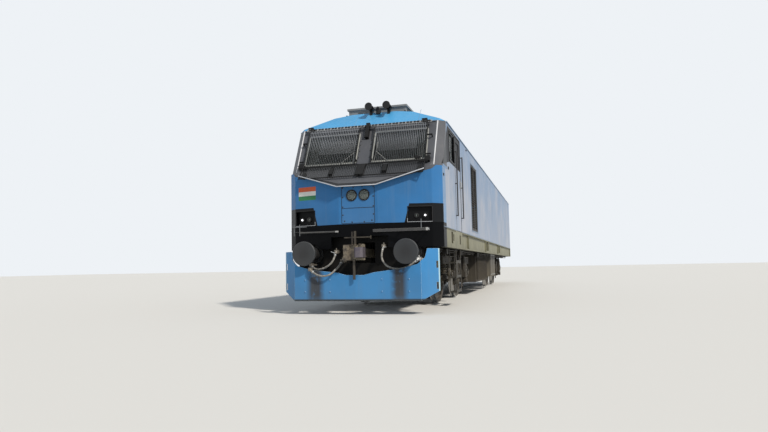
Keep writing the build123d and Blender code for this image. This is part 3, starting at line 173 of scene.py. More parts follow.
# Name, length in metres, points of the route: across, station, height over the rail
HOSES = [
    (
        "air_hose_1",
        0.657,
        [(-462, -330, 1080), (-464, -390, 1000), (-515, -440, 905), (-615, -455, 838)]
        + [(-735, -445, 803), (-840, -422, 815), (-905, -375, 860)],
    ),
    (
        "air_hose_2",
        0.753,
        [(-350, -330, 920), (-352, -420, 865), (-385, -535, 800), (-460, -590, 712)]
        + [(-570, -602, 682), (-680, -596, 692), (-765, -584, 720), (-825, -575, 768)],
    ),
    (
        "air_hose_3",
        0.954,
        [(470, -330, 1160), (462, -385, 1080), (478, -430, 975), (550, -455, 868), (665, -465, 805)]
        + [(800, -463, 788), (925, -448, 815), (1025, -418, 866), (1100, -375, 928)],
    ),
]
for node, length, route in HOSES:
    curve = bpy.data.curves.new(node + "_tube", "CURVE")
    curve.dimensions = "3D"
    line = curve.splines.new("NURBS")
    line.points.add(len(route) - 1)
    for point, (x, station, height) in zip(line.points, route):
        point.co = (x / 1000, FRONT + station / 1000, height / 1000 + RAIL, 1)
    line.order_u = 3
    line.use_endpoint_u = True
    line.resolution_u = 12
    curve.bevel_depth = HOSE_DIAMETER / 2
    curve.bevel_resolution = 6
    curve.use_fill_caps = True
    curve.materials.append(hose_rubber)
    hose = bpy.data.objects.new(node + "_tube", curve)
    bpy.context.scene.collection.objects.link(hose)
    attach(hose, "carbody")
    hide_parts(node)


# Nose. Folded steel sheet in two-pack blue enamel, its blue darkened as painted shade, with black lower
# corners and a striped panel on the left. Road dust hangs on it in clouds and in rain runs.
def dust_share(tree, place, axes, share, low, high):
    """How much dust lies here: clouds 1.1 m wide, runs 90 mm wide, more towards low."""
    clouds = add(tree, "TexNoise", place, None, grain(1100), 6.0, 0.6)
    tall = add(tree, "Mapping", place, None, None, (grain(90), grain(90), grain(1800)))
    runs = add(tree, "TexNoise", tall, None, 1.0, 4.0, 0.65)
    cloud_part = add(tree, "MapRange", clouds, 0.42, 0.72, 0.0, 0.7)
    run_part = add(tree, "MapRange", runs, 0.5, 0.75, 0.0, 0.8)
    laid = add(tree, "Math", cloud_part, run_part, operation="ADD")
    laid = add(tree, "Math", laid, share, operation="MULTIPLY")
    fade = add(tree, "MapRange", axes.outputs["Z"], low, high, share * 1.15, share * 0.35)
    return add(tree, "Math", laid, fade, operation="ADD", use_clamp=True)


def enamel(
    base, dust, share=0.3, rough=0.4, shine=0.3, low=1.3, high=2.2,
    zones=None, chips=None, edge=5.0, wiped=None,
):
    """Sprayed paint under road dust. chips is the colour that shows where it is knocked off,
    and wiped(tree, axes) is 1 where hardly any dust is left."""

    def build(tree, place):
        axes = add(tree, "SeparateXYZ", place)
        colour = zones(tree, axes, linear(base)) if zones else linear(base)
        shade = add(tree, "TexNoise", place, None, grain(600), 3.0, 0.5)
        shade = add(tree, "MapRange", shade, 0.3, 0.7, 0.9, 1.1)
        colour = add(tree, "HueSaturation", None, None, shade, None, colour)
        laid = dust_share(tree, place, axes, share, low, high)
        if wiped:
            left = add(tree, "MapRange", wiped(tree, axes), 0.0, 1.0, 1.0, 0.12)
            laid = add(tree, "Math", laid, left, operation="MULTIPLY")
        shown = add(tree, "MixRGB", laid, colour, linear(dust))
        soft_edge = add(tree, "Bevel", edge / 1000, samples=4)
        if chips:
            true = add(tree, "NewGeometry")
            bend = add(tree, "VectorMath", soft_edge, true.outputs["Normal"], operation="DOT_PRODUCT")
            bend = add(tree, "MapRange", bend.outputs["Value"], 0.999, 0.93, 0.0, 0.6)
            knocks = add(tree, "TexNoise", place, None, grain(35), 5.0, 0.7)
            knocks = add(tree, "Math", knocks, bend, operation="ADD")
            knocks = add(tree, "MapRange", knocks, 0.78, 0.84, 0.0, 1.0)
            shown = add(tree, "MixRGB", knocks, shown, linear(chips))
        worn = add(tree, "TexNoise", place, None, grain(16), 3.0, 0.6)
        worn = add(tree, "MapRange", worn, 0.3, 0.7, -0.05, 0.05)
        dull = add(tree, "MapRange", laid, 0.0, 0.8, rough, min(rough + 0.35, 1.0))
        dull = add(tree, "Math", dull, worn, operation="ADD", use_clamp=True)
        peel = add(tree, "TexNoise", place, None, grain(9), 2.0, 0.5)
        relief = add(tree, "Bump", Strength=0.3, Distance=0.0008, Height=peel, Normal=soft_edge)
        sockets = {"Roughness": dull, "Normal": relief, "IOR": 1.5, "Specular_IOR_Level": shine}
        return add(tree, "BsdfPrincipled", shown, **sockets)

    return build


def between(tree, value, low, high, soft=0.003):
    """1 where value lies from low to high, with an edge soft metres wide."""
    rise = add(tree, "MapRange", value, low - soft, low + soft, 0.0, 1.0)
    fall = add(tree, "MapRange", value, high - soft, high + soft, 1.0, 0.0)
    return add(tree, "Math", rise, fall, operation="MULTIPLY")


def both(tree, *shares):
    """Where all the shares are 1."""
    result = shares[0]
    for share in shares[1:]:
        result = add(tree, "Math", result, share, operation="MULTIPLY")
    return result


def off_middle(tree, axes):
    """The distance from the middle plane, on either side."""
    return add(tree, "Math", axes.outputs["X"], operation="ABSOLUTE")


def station_of(tree, axes):
    """The distance behind the plane of the cab's front corners."""
    return add(tree, "Math", axes.outputs["Y"], FRONT, operation="SUBTRACT")


WALL_REACH = 1.546
WALL_START = 0.115


def side_face(tree, axes, reach=WALL_REACH):
    """1 on the flat sides of the body, 0 on its front and inside."""
    return add(tree, "Math", off_middle(tree, axes), reach, operation="GREATER_THAN")


def front_face(tree, axes):
    """1 ahead of the side walls, on all facets of the front."""
    return add(tree, "Math", station_of(tree, axes), WALL_START, operation="LESS_THAN")


PANEL = (-1.30, -0.90)
STRIPES = ((2.357, 2.447, "#CC5A2E"), (2.272, 2.357, "#DDDED8"), (2.187, 2.272, "#2F7A4B"))
# The nose and hatch blue is darker than the plough's blue: painted shade on the same paint.
BLUE = "#2B6DA6"
# Paler blue for the sides: partly dust, partly a painted reflection of a bright sky at a glancing view.
SIDE_BLUE_DUST_AND_REFLECTION = "#6487AD"
CORNER_ACROSS = (0.86, 0.955)
CORNER_HEIGHT = (1.66, 2.03)
CORNER_TOP = 2.042


def black_corners(tree, axes):
    """The lower corners of the front, whose upper edge climbs steeply on its way out."""
    slant = add(tree, "MapRange", off_middle(tree, axes), *CORNER_ACROSS, *CORNER_HEIGHT)
    under = add(tree, "Math", slant, axes.outputs["Z"], operation="GREATER_THAN")
    capped = add(tree, "Math", axes.outputs["Z"], CORNER_TOP, operation="LESS_THAN")
    return both(tree, under, capped, front_face(tree, axes))


def nose_zones(tree, axes, blue):
    """Paler blue sides, partly dust and partly painted reflection, the black corners and the three stripes.
    """
    rise = axes.outputs["Z"]
    colour = add(tree, "MixRGB", side_face(tree, axes), blue, linear(SIDE_BLUE_DUST_AND_REFLECTION))
    colour = add(tree, "MixRGB", black_corners(tree, axes), colour, linear("#06070B"))
    panel = both(tree, between(tree, axes.outputs["X"], *PANEL, 0.002), front_face(tree, axes))
    for low, high, code in STRIPES:
        band = both(tree, between(tree, rise, low, high, 0.002), panel)
        colour = add(tree, "MixRGB", band, colour, linear(code))
    return colour


def dress(material, *nodes):
    for node in nodes:
        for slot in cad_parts[node].material_slots:
            slot.material = material


DUST = "#8C969B"
blue_enamel = finish("blue_two_pack_enamel", enamel(BLUE, DUST, 0.12, 0.36, 0.2, 1.6, 2.4))
dress(blue_enamel, "nose_hatch")
nose_coat = enamel(BLUE, DUST, 0.1, 0.36, 0.2, 1.2, 1.9, zones=nose_zones, wiped=black_corners)
dress(finish("nose_enamel", nose_coat), "nose_shell")
band_enamel = finish("black_band_enamel", enamel("#050609", "#232425", 0.04, 0.4, 0.08, 1.2, 1.5))
dress(band_enamel, "bumper_band")

# Hatch fittings. Mushroom-headed screws of dark steel in the hatch and the nose.
# New pieces are drawn in millimetres: across, station, height, and turned to
# metres when they are done.
TO_METRES = Matrix.Translation((0, FRONT, 0)) @ Matrix.Scale(0.001, 4)


def piece(name, shape, material, body="carbody", crease=38):
    """Close a shape into an object that rides on a body."""
    bmesh.ops.transform(shape, matrix=TO_METRES, verts=shape.verts)
    bmesh.ops.recalc_face_normals(shape, faces=shape.faces)
    for face in shape.faces:
        face.smooth = True
    for edge in shape.edges:
        edge.smooth = edge.calc_face_angle(math.pi) < math.radians(crease)
    mesh = bpy.data.meshes.new(name)
    shape.to_mesh(mesh)
    shape.free()
    mesh.materials.append(material)
    made = bpy.data.objects.new(name, mesh)
    bpy.context.scene.collection.objects.link(made)
    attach(made, body)
    return made


def edges_of(verts):
    """The edges that meet these vertices, in the same order each run."""
    return list(dict.fromkeys(edge for vert in verts for edge in vert.link_edges))


def block(shape, low, high, edge=0.0, steps=2, place=Matrix()):
    """A cuboid between two corners, its edges rounded to the radius edge."""
    low, high = Vector(low), Vector(high)
    made = bmesh.ops.create_cube(shape, size=1.0)["verts"]
    bmesh.ops.scale(shape, vec=high - low, verts=made)
    bmesh.ops.translate(shape, vec=(low + high) / 2, verts=made)
    bmesh.ops.transform(shape, matrix=place, verts=made)
    if edge:
        rim = edges_of(made)
        rounding = {"offset": edge, "segments": steps, "profile": 0.5, "affect": "EDGES"}
        bmesh.ops.bevel(shape, geom=rim, material=-1, clamp_overlap=True, **rounding)


def rod(shape, start, end, radius, sides=20, tip=None):
    """A round bar from start to end, whose radius at the end is tip."""
    start, end = Vector(start), Vector(end)
    axis = end - start
    far = radius if tip is None else tip
    size = {"radius1": radius, "radius2": far, "depth": axis.length}
    made = bmesh.ops.create_cone(shape, cap_ends=True, segments=sides, **size)["verts"]
    turn = axis.to_track_quat("Z", "Y").to_matrix().to_4x4()
    bmesh.ops.transform(shape, matrix=Matrix.Translation((start + end) / 2) @ turn, verts=made)


def turned(shape, outline, centre, axis, steps=40):
    """A body of revolution. outline holds pairs of radius and distance along the axis."""
    before = set(shape.verts)
    line = [shape.verts.new((radius, 0, along)) for radius, along in outline]
    links = [shape.edges.new(pair) for pair in zip(line, line[1:])]
    circle = {"cent": (0, 0, 0), "axis": (0, 0, 1), "angle": math.tau, "steps": steps}
    bmesh.ops.spin(shape, geom=line + links, use_merge=True, **circle)
    bmesh.ops.remove_doubles(shape, verts=[v for v in shape.verts if v not in before], dist=0.01)
    turn = Vector(axis).to_track_quat("Z", "Y").to_matrix().to_4x4()
    made = [v for v in shape.verts if v not in before]
    bmesh.ops.transform(shape, matrix=Matrix.Translation(centre) @ turn, verts=made)


def ring(shape, half_wide, half_high, corner, width, depth, place):
    """A flat frame with round corners, lying on place and depth thick."""
    before = set(shape.faces)
    grid = bmesh.ops.create_grid(shape, x_segments=1, y_segments=1, size=1.0)["verts"]
    bmesh.ops.scale(shape, vec=(half_wide, half_high, 1), verts=grid)
    bmesh.ops.bevel(shape, geom=grid, offset=corner, segments=5, profile=0.5, affect="VERTICES", material=-1)
    sheet = [face for face in shape.faces if face not in before]
    rim = bmesh.ops.inset_individual(shape, faces=sheet, thickness=width, use_even_offset=True)["faces"]
    bmesh.ops.delete(shape, geom=sheet, context="FACES")
    raised = bmesh.ops.extrude_face_region(shape, geom=rim)["geom"]
    raised = [item for item in raised if isinstance(item, bmesh.types.BMVert)]
    bmesh.ops.translate(shape, vec=(0, 0, depth), verts=raised)
    made = {vert for face in shape.faces if face not in before for vert in face.verts}
    bmesh.ops.transform(shape, matrix=place, verts=list(made))


def mirrored(shape):
    """Add the same again on the other side of the locomotive."""
    copy = bmesh.ops.duplicate(shape, geom=shape.verts[:] + shape.edges[:] + shape.faces[:])["geom"]
    verts = [item for item in copy if isinstance(item, bmesh.types.BMVert)]
    bmesh.ops.scale(shape, vec=(-1, 1, 1), verts=verts)


def dark_screw_steel(tree, place):
    spots = add(tree, "TexNoise", place, None, grain(12), 3.0, 0.6)
    shown = add(tree, "MixRGB", spots, linear("#16181C"), linear("#4B4A49"))
    dull = add(tree, "MapRange", spots, 0.3, 0.7, 0.3, 0.6)
    return add(tree, "BsdfPrincipled", shown, Roughness=dull, Metallic=0.8)


screw_steel = finish("blackened_screw_steel", dark_screw_steel)
black_plastic = finish("black_moulded_plastic", rubber("#0A0B0C", "#1F1F20"))
SCREW_HEAD = [(0, 0), (13, 0), (13, 2), (9, 5), (3, 6.5), (0, 6.5)]
NOSE_FLAT = -320
AHEAD = (0, -1, 0)
screws = bmesh.new()
for x, height in ((270, 1735), (302, 2002), (302, 2368), (302, 2185), (302, 1850), (90, 2372), (120, 1712)):
    turned(screws, SCREW_HEAD, (x, NOSE_FLAT, height), AHEAD, 16)
mirrored(screws)
piece("hatch_screws", screws, screw_steel)
HATCH_MIDDLE = 2041
HATCH_HALF = (325, 351)
HATCH_SPLIT = 1978
FRONT_TURN = Matrix.Rotation(math.pi / 2, 4, "X")
gasket = bmesh.new()
hatch_place = Matrix.Translation((0, NOSE_FLAT - 1, HATCH_MIDDLE)) @ FRONT_TURN
ring(gasket, HATCH_HALF[0] + 4, HATCH_HALF[1] + 4, 12, 8, 2, hatch_place)
strip_low = (-HATCH_HALF[0], NOSE_FLAT - 3, HATCH_SPLIT - 4)
strip_high = (HATCH_HALF[0], NOSE_FLAT, HATCH_SPLIT + 4)
block(gasket, strip_low, strip_high, 0.5)
piece("hatch_gasket", gasket, black_plastic)

# Headlamps. Two sealed beams behind the hatch: a pressed reflector with its chrome painted dark as
# a painted reflection, a small bulb and a bowed glass, in a black moulded bezel that stands proud of the
# sheet.
LAMP_ACROSS = 124
LAMP_HEIGHT = 2218
BEZEL = [(86, 0), (108, 0), (110, 6), (106, 13), (97, 16), (88, 12), (85, 4), (86, 0)]
DISH = [(0, -7), (14, -7), (24, -4), (48, 0), (70, 5), (85, 10)]
DISH += [(87, 10), (70, 3), (24, -6), (14, -9), (0, -9)]
BULB = [(0, 7), (9, 6), (12, 0), (12, -5), (0, -5)]
BOWED_GLASS = [(0, 21), (30, 20), (60, 16), (86, 11), (86, 8), (60, 13), (30, 17), (0, 18)]


# Chrome painted dark: a painted reflection of dark surroundings, used for the lamp reflectors and the window
# sashes.
def dark_painted_chrome(tree, place):
    haze = add(tree, "TexNoise", place, None, grain(140), 2.0, 0.5)
    shown = add(tree, "MixRGB", haze, linear("#141615"), linear("#3C403D"))
    dull = add(tree, "MapRange", haze, 0.3, 0.7, 0.12, 0.3)
    return add(tree, "BsdfPrincipled", shown, Roughness=dull, Metallic=1.0)


def clear_glass(tint, rough, cover):
    """A thin pane. cover is how much of what lies behind is hidden by tint and gloss."""
    def build(tree, place):
        smear = add(tree, "TexNoise", place, None, grain(250), 4.0, 0.6)
        film = add(tree, "MapRange", smear, 0.4, 0.75, rough, rough + 0.12)
        return add(tree, "BsdfPrincipled", linear(tint), Roughness=film, Alpha=cover, IOR=1.5)

    return build


lamp_glass = finish("pressed_lamp_glass", clear_glass("#8C9692", 0.03, 0.22))
bezels = bmesh.new()
dishes = bmesh.new()
glasses = bmesh.new()
for x in (-LAMP_ACROSS, LAMP_ACROSS):
    centre = (x, NOSE_FLAT, LAMP_HEIGHT)
    turned(bezels, BEZEL, centre, AHEAD)
    turned(dishes, DISH, centre, AHEAD)
    turned(dishes, BULB, centre, AHEAD, 20)
    turned(glasses, BOWED_GLASS, centre, AHEAD)
piece("headlamp_bezels", bezels, black_plastic)
piece("headlamp_reflectors", dishes, finish("lamp_chrome_painted_dark", dark_painted_chrome))
piece("headlamp_glasses", glasses, lamp_glass)

# Marker lamps. Each black box in the nose holds an inner and an outer lamp in a
# rubber ring; the outer white diodes are lit. A pale lip closes each box's edge.
PROW = (385, -320)
BEND = (1380, -80)
PROW_ANGLE = math.atan2(BEND[1] - PROW[1], BEND[0] - PROW[0])


def prow_station(x):
    return PROW[1] + (abs(x) - PROW[0]) * math.tan(PROW_ANGLE)


def on_prow(side, x, height, out=0.0):
    """A place on a slanted front facet: along it, up, and out of it."""
    angle = PROW_ANGLE * side
    along = Vector((math.cos(angle), math.sin(angle), 0))
    outward = Vector((side * math.sin(PROW_ANGLE), -math.cos(PROW_ANGLE), 0))
    turn = Matrix((along, Vector((0, 0, 1)), outward)).transposed().to_4x4()
    foot = Vector((side * x, prow_station(x), height))
    return Matrix.Translation(foot + outward * out) @ turn


def lit_diode(tree, place):
    dots = add(tree, "TexVoronoi", place, Scale=grain(9))
    glow = add(tree, "MapRange", dots, 0.0, 0.6, 5.0, 2.5)
    lit = {"Emission_Color": linear("#F6F8FF"), "Emission_Strength": glow}
    return add(tree, "BsdfPrincipled", linear("#F4F7FF"), Roughness=0.2, **lit)


MARKER_HEIGHT = 1808
# Across, station of the face, radius of the lens
MARKER_DIM = (1075, -118, 20)
MARKER_LIT = (1235, -84, 17)
SLEEVE = [(28, 0), (44, -2), (45, -44), (40, -44), (28, -6), (28, 0)]
BOX_MIDDLE = (1145, 1832)
rims = bmesh.new()
lips = bmesh.new()
rings = bmesh.new()
diodes = bmesh.new()
dim_lenses = bmesh.new()
for side in (-1, 1):
    facet = on_prow(side, *BOX_MIDDLE)
    ring(rims, 236, 148, 14, 9, 5, on_prow(side, *BOX_MIDDLE, -2))
    block(lips, (-232, -150, -1), (232, -143, 7), 1.5, 2, facet)
    inner_end = -236 if side > 0 else 229
    block(lips, (inner_end, -150, -1), (inner_end + 7, -80, 6), 1.5, 2, facet)
    for x, front, reach, lens_shape in ((*MARKER_DIM, dim_lenses), (*MARKER_LIT, diodes)):
        centre = (side * x, front, MARKER_HEIGHT)
        turned(rings, SLEEVE, centre, AHEAD, 28)
        turned(rings, [(reach, 1), (29, 1), (29, -10), (reach, -10), (reach, 1)], centre, AHEAD, 28)
        lens_outline = [(0, 3), (reach * 0.6, 2), (reach, -3), (reach, -12), (0, -12)]
        turned(lens_shape, lens_outline, centre, AHEAD, 24)
piece("marker_box_rims", rims, black_plastic)
# Pale paint for the marker box lips; on the visor's lip the same pale is a painted highlight of its sunlit
# edge.
pale_lip_and_painted_highlight = finish("pale_lip_paint_and_painted_highlight", enamel("#B9BEC6", "#8E8F90", 0.2, 0.45))
piece("marker_box_lips", lips, pale_lip_and_painted_highlight)
piece("marker_lamp_rings", rings, black_plastic)
piece("marker_lamps_lit", diodes, finish("white_light_diodes", lit_diode))
piece("marker_lamps_dim", dim_lenses, lamp_glass)
dress(finish("black_lamp_box_paint", enamel("#07080B", "#1E1E1E", 0.08, 0.4, 0.12)), "lamps")


# Visor. A thin folded steel shelf under the windscreen guard, its grey darkened as painted shade. Its front
# edge runs straight across the prow and climbs outwards in a wide V, with a pale lip painted as a highlight.
def plate(shape, outline, drop):
    """A sheet from its outline, made thick by the step drop."""
    face = shape.faces.new([shape.verts.new(corner) for corner in outline])
    raised = bmesh.ops.extrude_face_region(shape, geom=[face])["geom"]
    raised = [item for item in raised if isinstance(item, bmesh.types.BMVert)]
    bmesh.ops.translate(shape, vec=drop, verts=raised)


def beam(shape, start, end, width, height, edge=0.0, over=(0, 0, 1)):
    """A straight rectangular bar; width lies across it, height along over."""
    start, end = Vector(start), Vector(end)
    along = (end - start).normalized()
    side = Vector(over).cross(along).normalized()
    turn = Matrix((along, side, along.cross(side))).transposed().to_4x4()
    reach = (end - start).length / 2
    place = Matrix.Translation((start + end) / 2) @ turn
    block(shape, (-reach, -width / 2, -height / 2), (reach, width / 2, height / 2), edge, 2, place)


OVERHANG = 110
VISOR_SHEET = 13
VISOR_REACH = 1262
LIP_LOW = 2395
LIP_HIGH = 2678
SHELF_LOW = 2464
SHELF_HIGH = 2694
visor = bmesh.new()
lip = bmesh.new()
lip_foot = (PROW[0], PROW[1] - OVERHANG, LIP_LOW)
lip_end = (VISOR_REACH, prow_station(VISOR_REACH) - OVERHANG, LIP_HIGH)
shelf_foot = (PROW[0], PROW[1] + 10, SHELF_LOW)
shelf_end = (VISOR_REACH, prow_station(VISOR_REACH) + 10, SHELF_HIGH)
plate(visor, [lip_foot, lip_end, shelf_end, shelf_foot], (0, 0, -VISOR_SHEET))
down = Vector((0, -2, -7))
beam(lip, Vector(lip_foot) + down, Vector(lip_end) + down, 6, 20, 1.5)
mirrored(visor)
mirrored(lip)
mirror = Vector((-1, 1, 1))
lip_left = Vector(lip_foot) * mirror
shelf_left = Vector(shelf_foot) * mirror
plate(visor, [lip_left, lip_foot, shelf_foot, shelf_left], (0, 0, -VISOR_SHEET))
beam(lip, lip_left + down, Vector(lip_foot) + down, 6, 20, 1.5)
GREY = "#4A4D54"
# The shelf's grey is darker than the surround's: painted shade for its shaded underside.
visor_grey_painted_shade = finish("dark_visor_enamel_painted_shade", enamel("#26282D", "#4E4D4B", 0.14, 0.42, 0.18, 2.3, 2.7))
piece("visor_shelf", visor, visor_grey_painted_shade)
piece("visor_lip", lip, pale_lip_and_painted_highlight)


# Windscreen surround. Grey enamelled steel with slanted corner pillars. A rounded bead in pale paint,
# a painted highlight, runs up each pillar, and the side windows stand in a black painted zone.
PILLAR_STATION = (0.156, 0.725)
PILLAR_HEIGHT = (2.798, 3.621)
ZONE_FOOT_STATION = (0.156, 0.95)
ZONE_FOOT_HEIGHT = (2.798, 2.958)
ZONE_TOP = 3.672
ZONE_REAR = 2.452
DOOR_REACH = 1.49


def window_zone(tree, axes):
    """The black zone of the side windows, bounded in front by the slanted pillar."""
    station = station_of(tree, axes)
    rise = axes.outputs["Z"]
    pillar = add(tree, "MapRange", rise, *PILLAR_HEIGHT, *PILLAR_STATION, clamp=False)
    behind = add(tree, "Math", station, pillar, operation="GREATER_THAN")
    foot = add(tree, "MapRange", station, *ZONE_FOOT_STATION, *ZONE_FOOT_HEIGHT)
    above = add(tree, "Math", rise, foot, operation="GREATER_THAN")
    below = add(tree, "Math", rise, ZONE_TOP, operation="LESS_THAN")
    ahead = add(tree, "Math", station, ZONE_REAR, operation="LESS_THAN")
    return both(tree, side_face(tree, axes, DOOR_REACH), behind, above, below, ahead)


def surround_zones(tree, axes, grey):
    """Grey, with the black window zone and, below it on the sides, a paler blue that is partly dust and
    partly painted reflection.
    """
    low = add(tree, "Math", axes.outputs["Z"], PILLAR_HEIGHT[0], operation="LESS_THAN")
    colour = add(tree, "MixRGB", both(tree, side_face(tree, axes), low), grey, linear(SIDE_BLUE_DUST_AND_REFLECTION))
    return add(tree, "MixRGB", window_zone(tree, axes), colour, linear("#0B0C0F"))


surround_coat = enamel(GREY, "#7C7B79", 0.14, 0.38, 0.25, 2.3, 2.9, surround_zones, wiped=window_zone)
dress(finish("grey_surround_enamel", surround_coat), "windscreen_surround")
SCREEN_RISE = Vector((0, 425, 850)).normalized()
SCREEN_OUT = Vector((0, -850, 425)).normalized()
SCREEN_TURN = Matrix((Vector((1, 0, 0)), SCREEN_RISE, SCREEN_OUT)).transposed().to_4x4()
SCREEN_FOOT = Vector((0, 75, 2878))
SCREEN = Matrix.Translation(SCREEN_FOOT) @ SCREEN_TURN
bead = bmesh.new()
rod(bead, (1397, 26, 2764), (1413, 496, 3716), 13, 20, 15)
mirrored(bead)
# The bead's pale paint is a painted highlight along the pillar's edge.
bead_painted_highlight = finish("pale_bead_highlight_paint", enamel("#C4C6CB", "#A5A5A3", 0.1, 0.25, 0.5))
piece("pillar_beads", bead, bead_painted_highlight)
cover_bolts = bmesh.new()
for x in (-108, 108):
    for along in (-25, 130, 290, 440, 545):
        foot = SCREEN @ Vector((x, along, 30))
        turned(cover_bolts, SCREW_HEAD, foot, SCREEN_OUT, 14)
piece("cover_screws", cover_bolts, screw_steel)

# Windscreen. Two heated laminated panes, clamped by pale extruded seals. Behind each lie a trim frame,
# its cream darkened as painted shade, and a sun visor over its upper half, painted near white as painted
# light.
PANE_MIDDLE = 702.5
PANE_HALF = 537.5
PANE_LOW = 30
PANE_HIGH = 762
seals = bmesh.new()
trims = bmesh.new()
shades = bmesh.new()
for side in (-1, 1):
    centre = Vector((side * PANE_MIDDLE, (PANE_LOW + PANE_HIGH) / 2, 1))
    half_high = (PANE_HIGH - PANE_LOW) / 2
    ring(seals, PANE_HALF + 14, half_high + 14, 46, 34, 8, SCREEN @ Matrix.Translation(centre))
    trim_place = SCREEN @ Matrix.Translation((0, 0, -78))
    for inner, outer, head in ((1030, 1262, 790), (150, 190, 790), (160, 1262, 105)):
        start, end = sorted((side * inner, side * outer))
        block(trims, (start, 10, 0), (end, head, 8), 2, 2, trim_place)
    start, end = sorted((side * 180, side * 1040))
    block(shades, (start, 360, 0), (end, 786, 5), 2, 2, SCREEN @ Matrix.Translation((0, 0, -92)))
pale_seal = finish("weathered_pale_seal", rubber("#8E918E", "#B0B2AD"))
piece("windscreen_seals", seals, pale_seal)
# The trim's cream is darkened: painted shade.
cream_lining = finish("cream_trim_painted_shade", rubber("#70746E", "#8B8F88"))
piece("window_trims", trims, cream_lining)
# The sun visors are painted near white: painted light.
sun_visor_painted_light = finish("pale_sun_visor_painted_light", rubber("#C9CFD9", "#DADDE2"))
piece("sun_visors", shades, sun_visor_painted_light)
dress(finish("laminated_glass", clear_glass("#0D1A17", 0.02, 0.4)), "cab_glass")


# Windscreen guard. Grids of 7 mm galvanised wire in black angle frames, with a slotted rail on top whose
# slots are black blocks of painted shade, and black clips to the body. Dust has dulled the zinc, and the
# wires are painted paler towards the top as painted light.
HOOD_RISE = Vector((0, 0.685, 0.728))
GUARD_WIRES = ((-0.045, 0.852), (0.172, 1.228))
HOOD_WIRES = ((-0.412, -0.112), (0.1, 1.12))
TOP_RAIL = ((0.858, 0.914), (0.07, 1.4))
RAIL_CLIP = (1.13, 1.24)
# Black clips that cross the wires: from and to along the screen, from and to across
CLIPS = (((-0.06, 0.034), (1.038, 1.152)), ((-0.5, -0.1), (0.426, 0.524)), ((-0.5, -0.1), (-0.644, -0.556)))


def climb_of(tree, axes, rise):
    """The distance up a slanted plane through the screen's foot."""
    back = add(tree, "Math", station_of(tree, axes), SCREEN_FOOT.y / 1000, operation="SUBTRACT")
    up = add(tree, "Math", axes.outputs["Z"], SCREEN_FOOT.z / 1000, operation="SUBTRACT")
    back = add(tree, "Math", back, rise.y, operation="MULTIPLY")
    return add(tree, "Math", up, rise.z, back, operation="MULTIPLY_ADD")


def oblong(tree, along, across, place):
    """1 in a rectangle, given as its range along and its range across."""
    return both(tree, between(tree, along, *place[0]), between(tree, across, *place[1]))


def guard_zones(tree, axes, black):
    width = off_middle(tree, axes)
    along = climb_of(tree, axes, SCREEN_RISE)
    hood = oblong(tree, climb_of(tree, axes, HOOD_RISE), width, HOOD_WIRES)
    wires = add(tree, "Math", oblong(tree, along, width, GUARD_WIRES), hood, operation="MAXIMUM")
    for place in CLIPS:
        clip = oblong(tree, along, axes.outputs["X"], place)
        wires = add(tree, "Math", wires, clip, operation="SUBTRACT", use_clamp=True)
    clear = add(tree, "Math", 1.0, between(tree, width, *RAIL_CLIP), operation="SUBTRACT")
    rail = both(tree, oblong(tree, along, width, TOP_RAIL), clear)
    # The wires are painted paler towards the top of the screen: painted light.
    wires_painted_lighter_upward = add(tree, "MapRange", along, 0.3, 0.5, 0.0, 1.0)
    steel = add(tree, "MixRGB", wires_painted_lighter_upward, linear("#484B4E"), linear("#7C8188"))
    wires = add(tree, "MixRGB", wires, black, steel)
    return add(tree, "MixRGB", rail, wires, linear("#9DA1A5"))


guard_coat = enamel("#08090B", "#4B4A47", 0.08, 0.42, 0.2, 2.4, 2.8, guard_zones, edge=2.0)
dress(finish("galvanised_guard", guard_coat), "window_guard")
# Black blocks along the rail stand for its dark slots: painted shade.
DASH_COUNT = 36
DASH_PITCH = 72
backing = bmesh.new()
block(backing, (-1300, 862, 59), (1300, 910, 64.5), 1, 2, SCREEN)
for i in range(DASH_COUNT):
    x = (i - (DASH_COUNT - 1) / 2) * DASH_PITCH
    block(backing, (x - 25, 867, 64), (x + 25, 908, 86), 1, 1, SCREEN)
slot_blocks_painted_shade = finish("black_slot_blocks_painted_shade", rubber("#070708", "#1A1A1A"))
piece("rail_backing", backing, slot_blocks_painted_shade)

# Wipers. Bright anodised arms on splined spindles, each with a black rubber blade
# in a channel and a pressed nut cap.
dress(finish("anodised_wiper_arm", enamel("#9A9C9A", "#7F7E78", 0.25, 0.35, edge=2.0)), "wipers")
blades = bmesh.new()
caps = bmesh.new()
for side in (-1, 1):
    tilt = Matrix.Rotation(math.radians(-3 * side), 4, "Z")
    blade_place = SCREEN @ Matrix.Translation((side * 225, 270, -3)) @ tilt
    block(blades, (-3, -238, -6), (3, 238, 4), 1, 2, blade_place)
    foot = SCREEN @ Vector((side * 520, -12, 22))
    turned(caps, [(0, 0), (17, 0), (17, 6), (11, 14), (0, 15)], foot, SCREEN_OUT, 20)
piece("wiper_blades", blades, black_plastic)
piece("wiper_caps", caps, screw_steel)

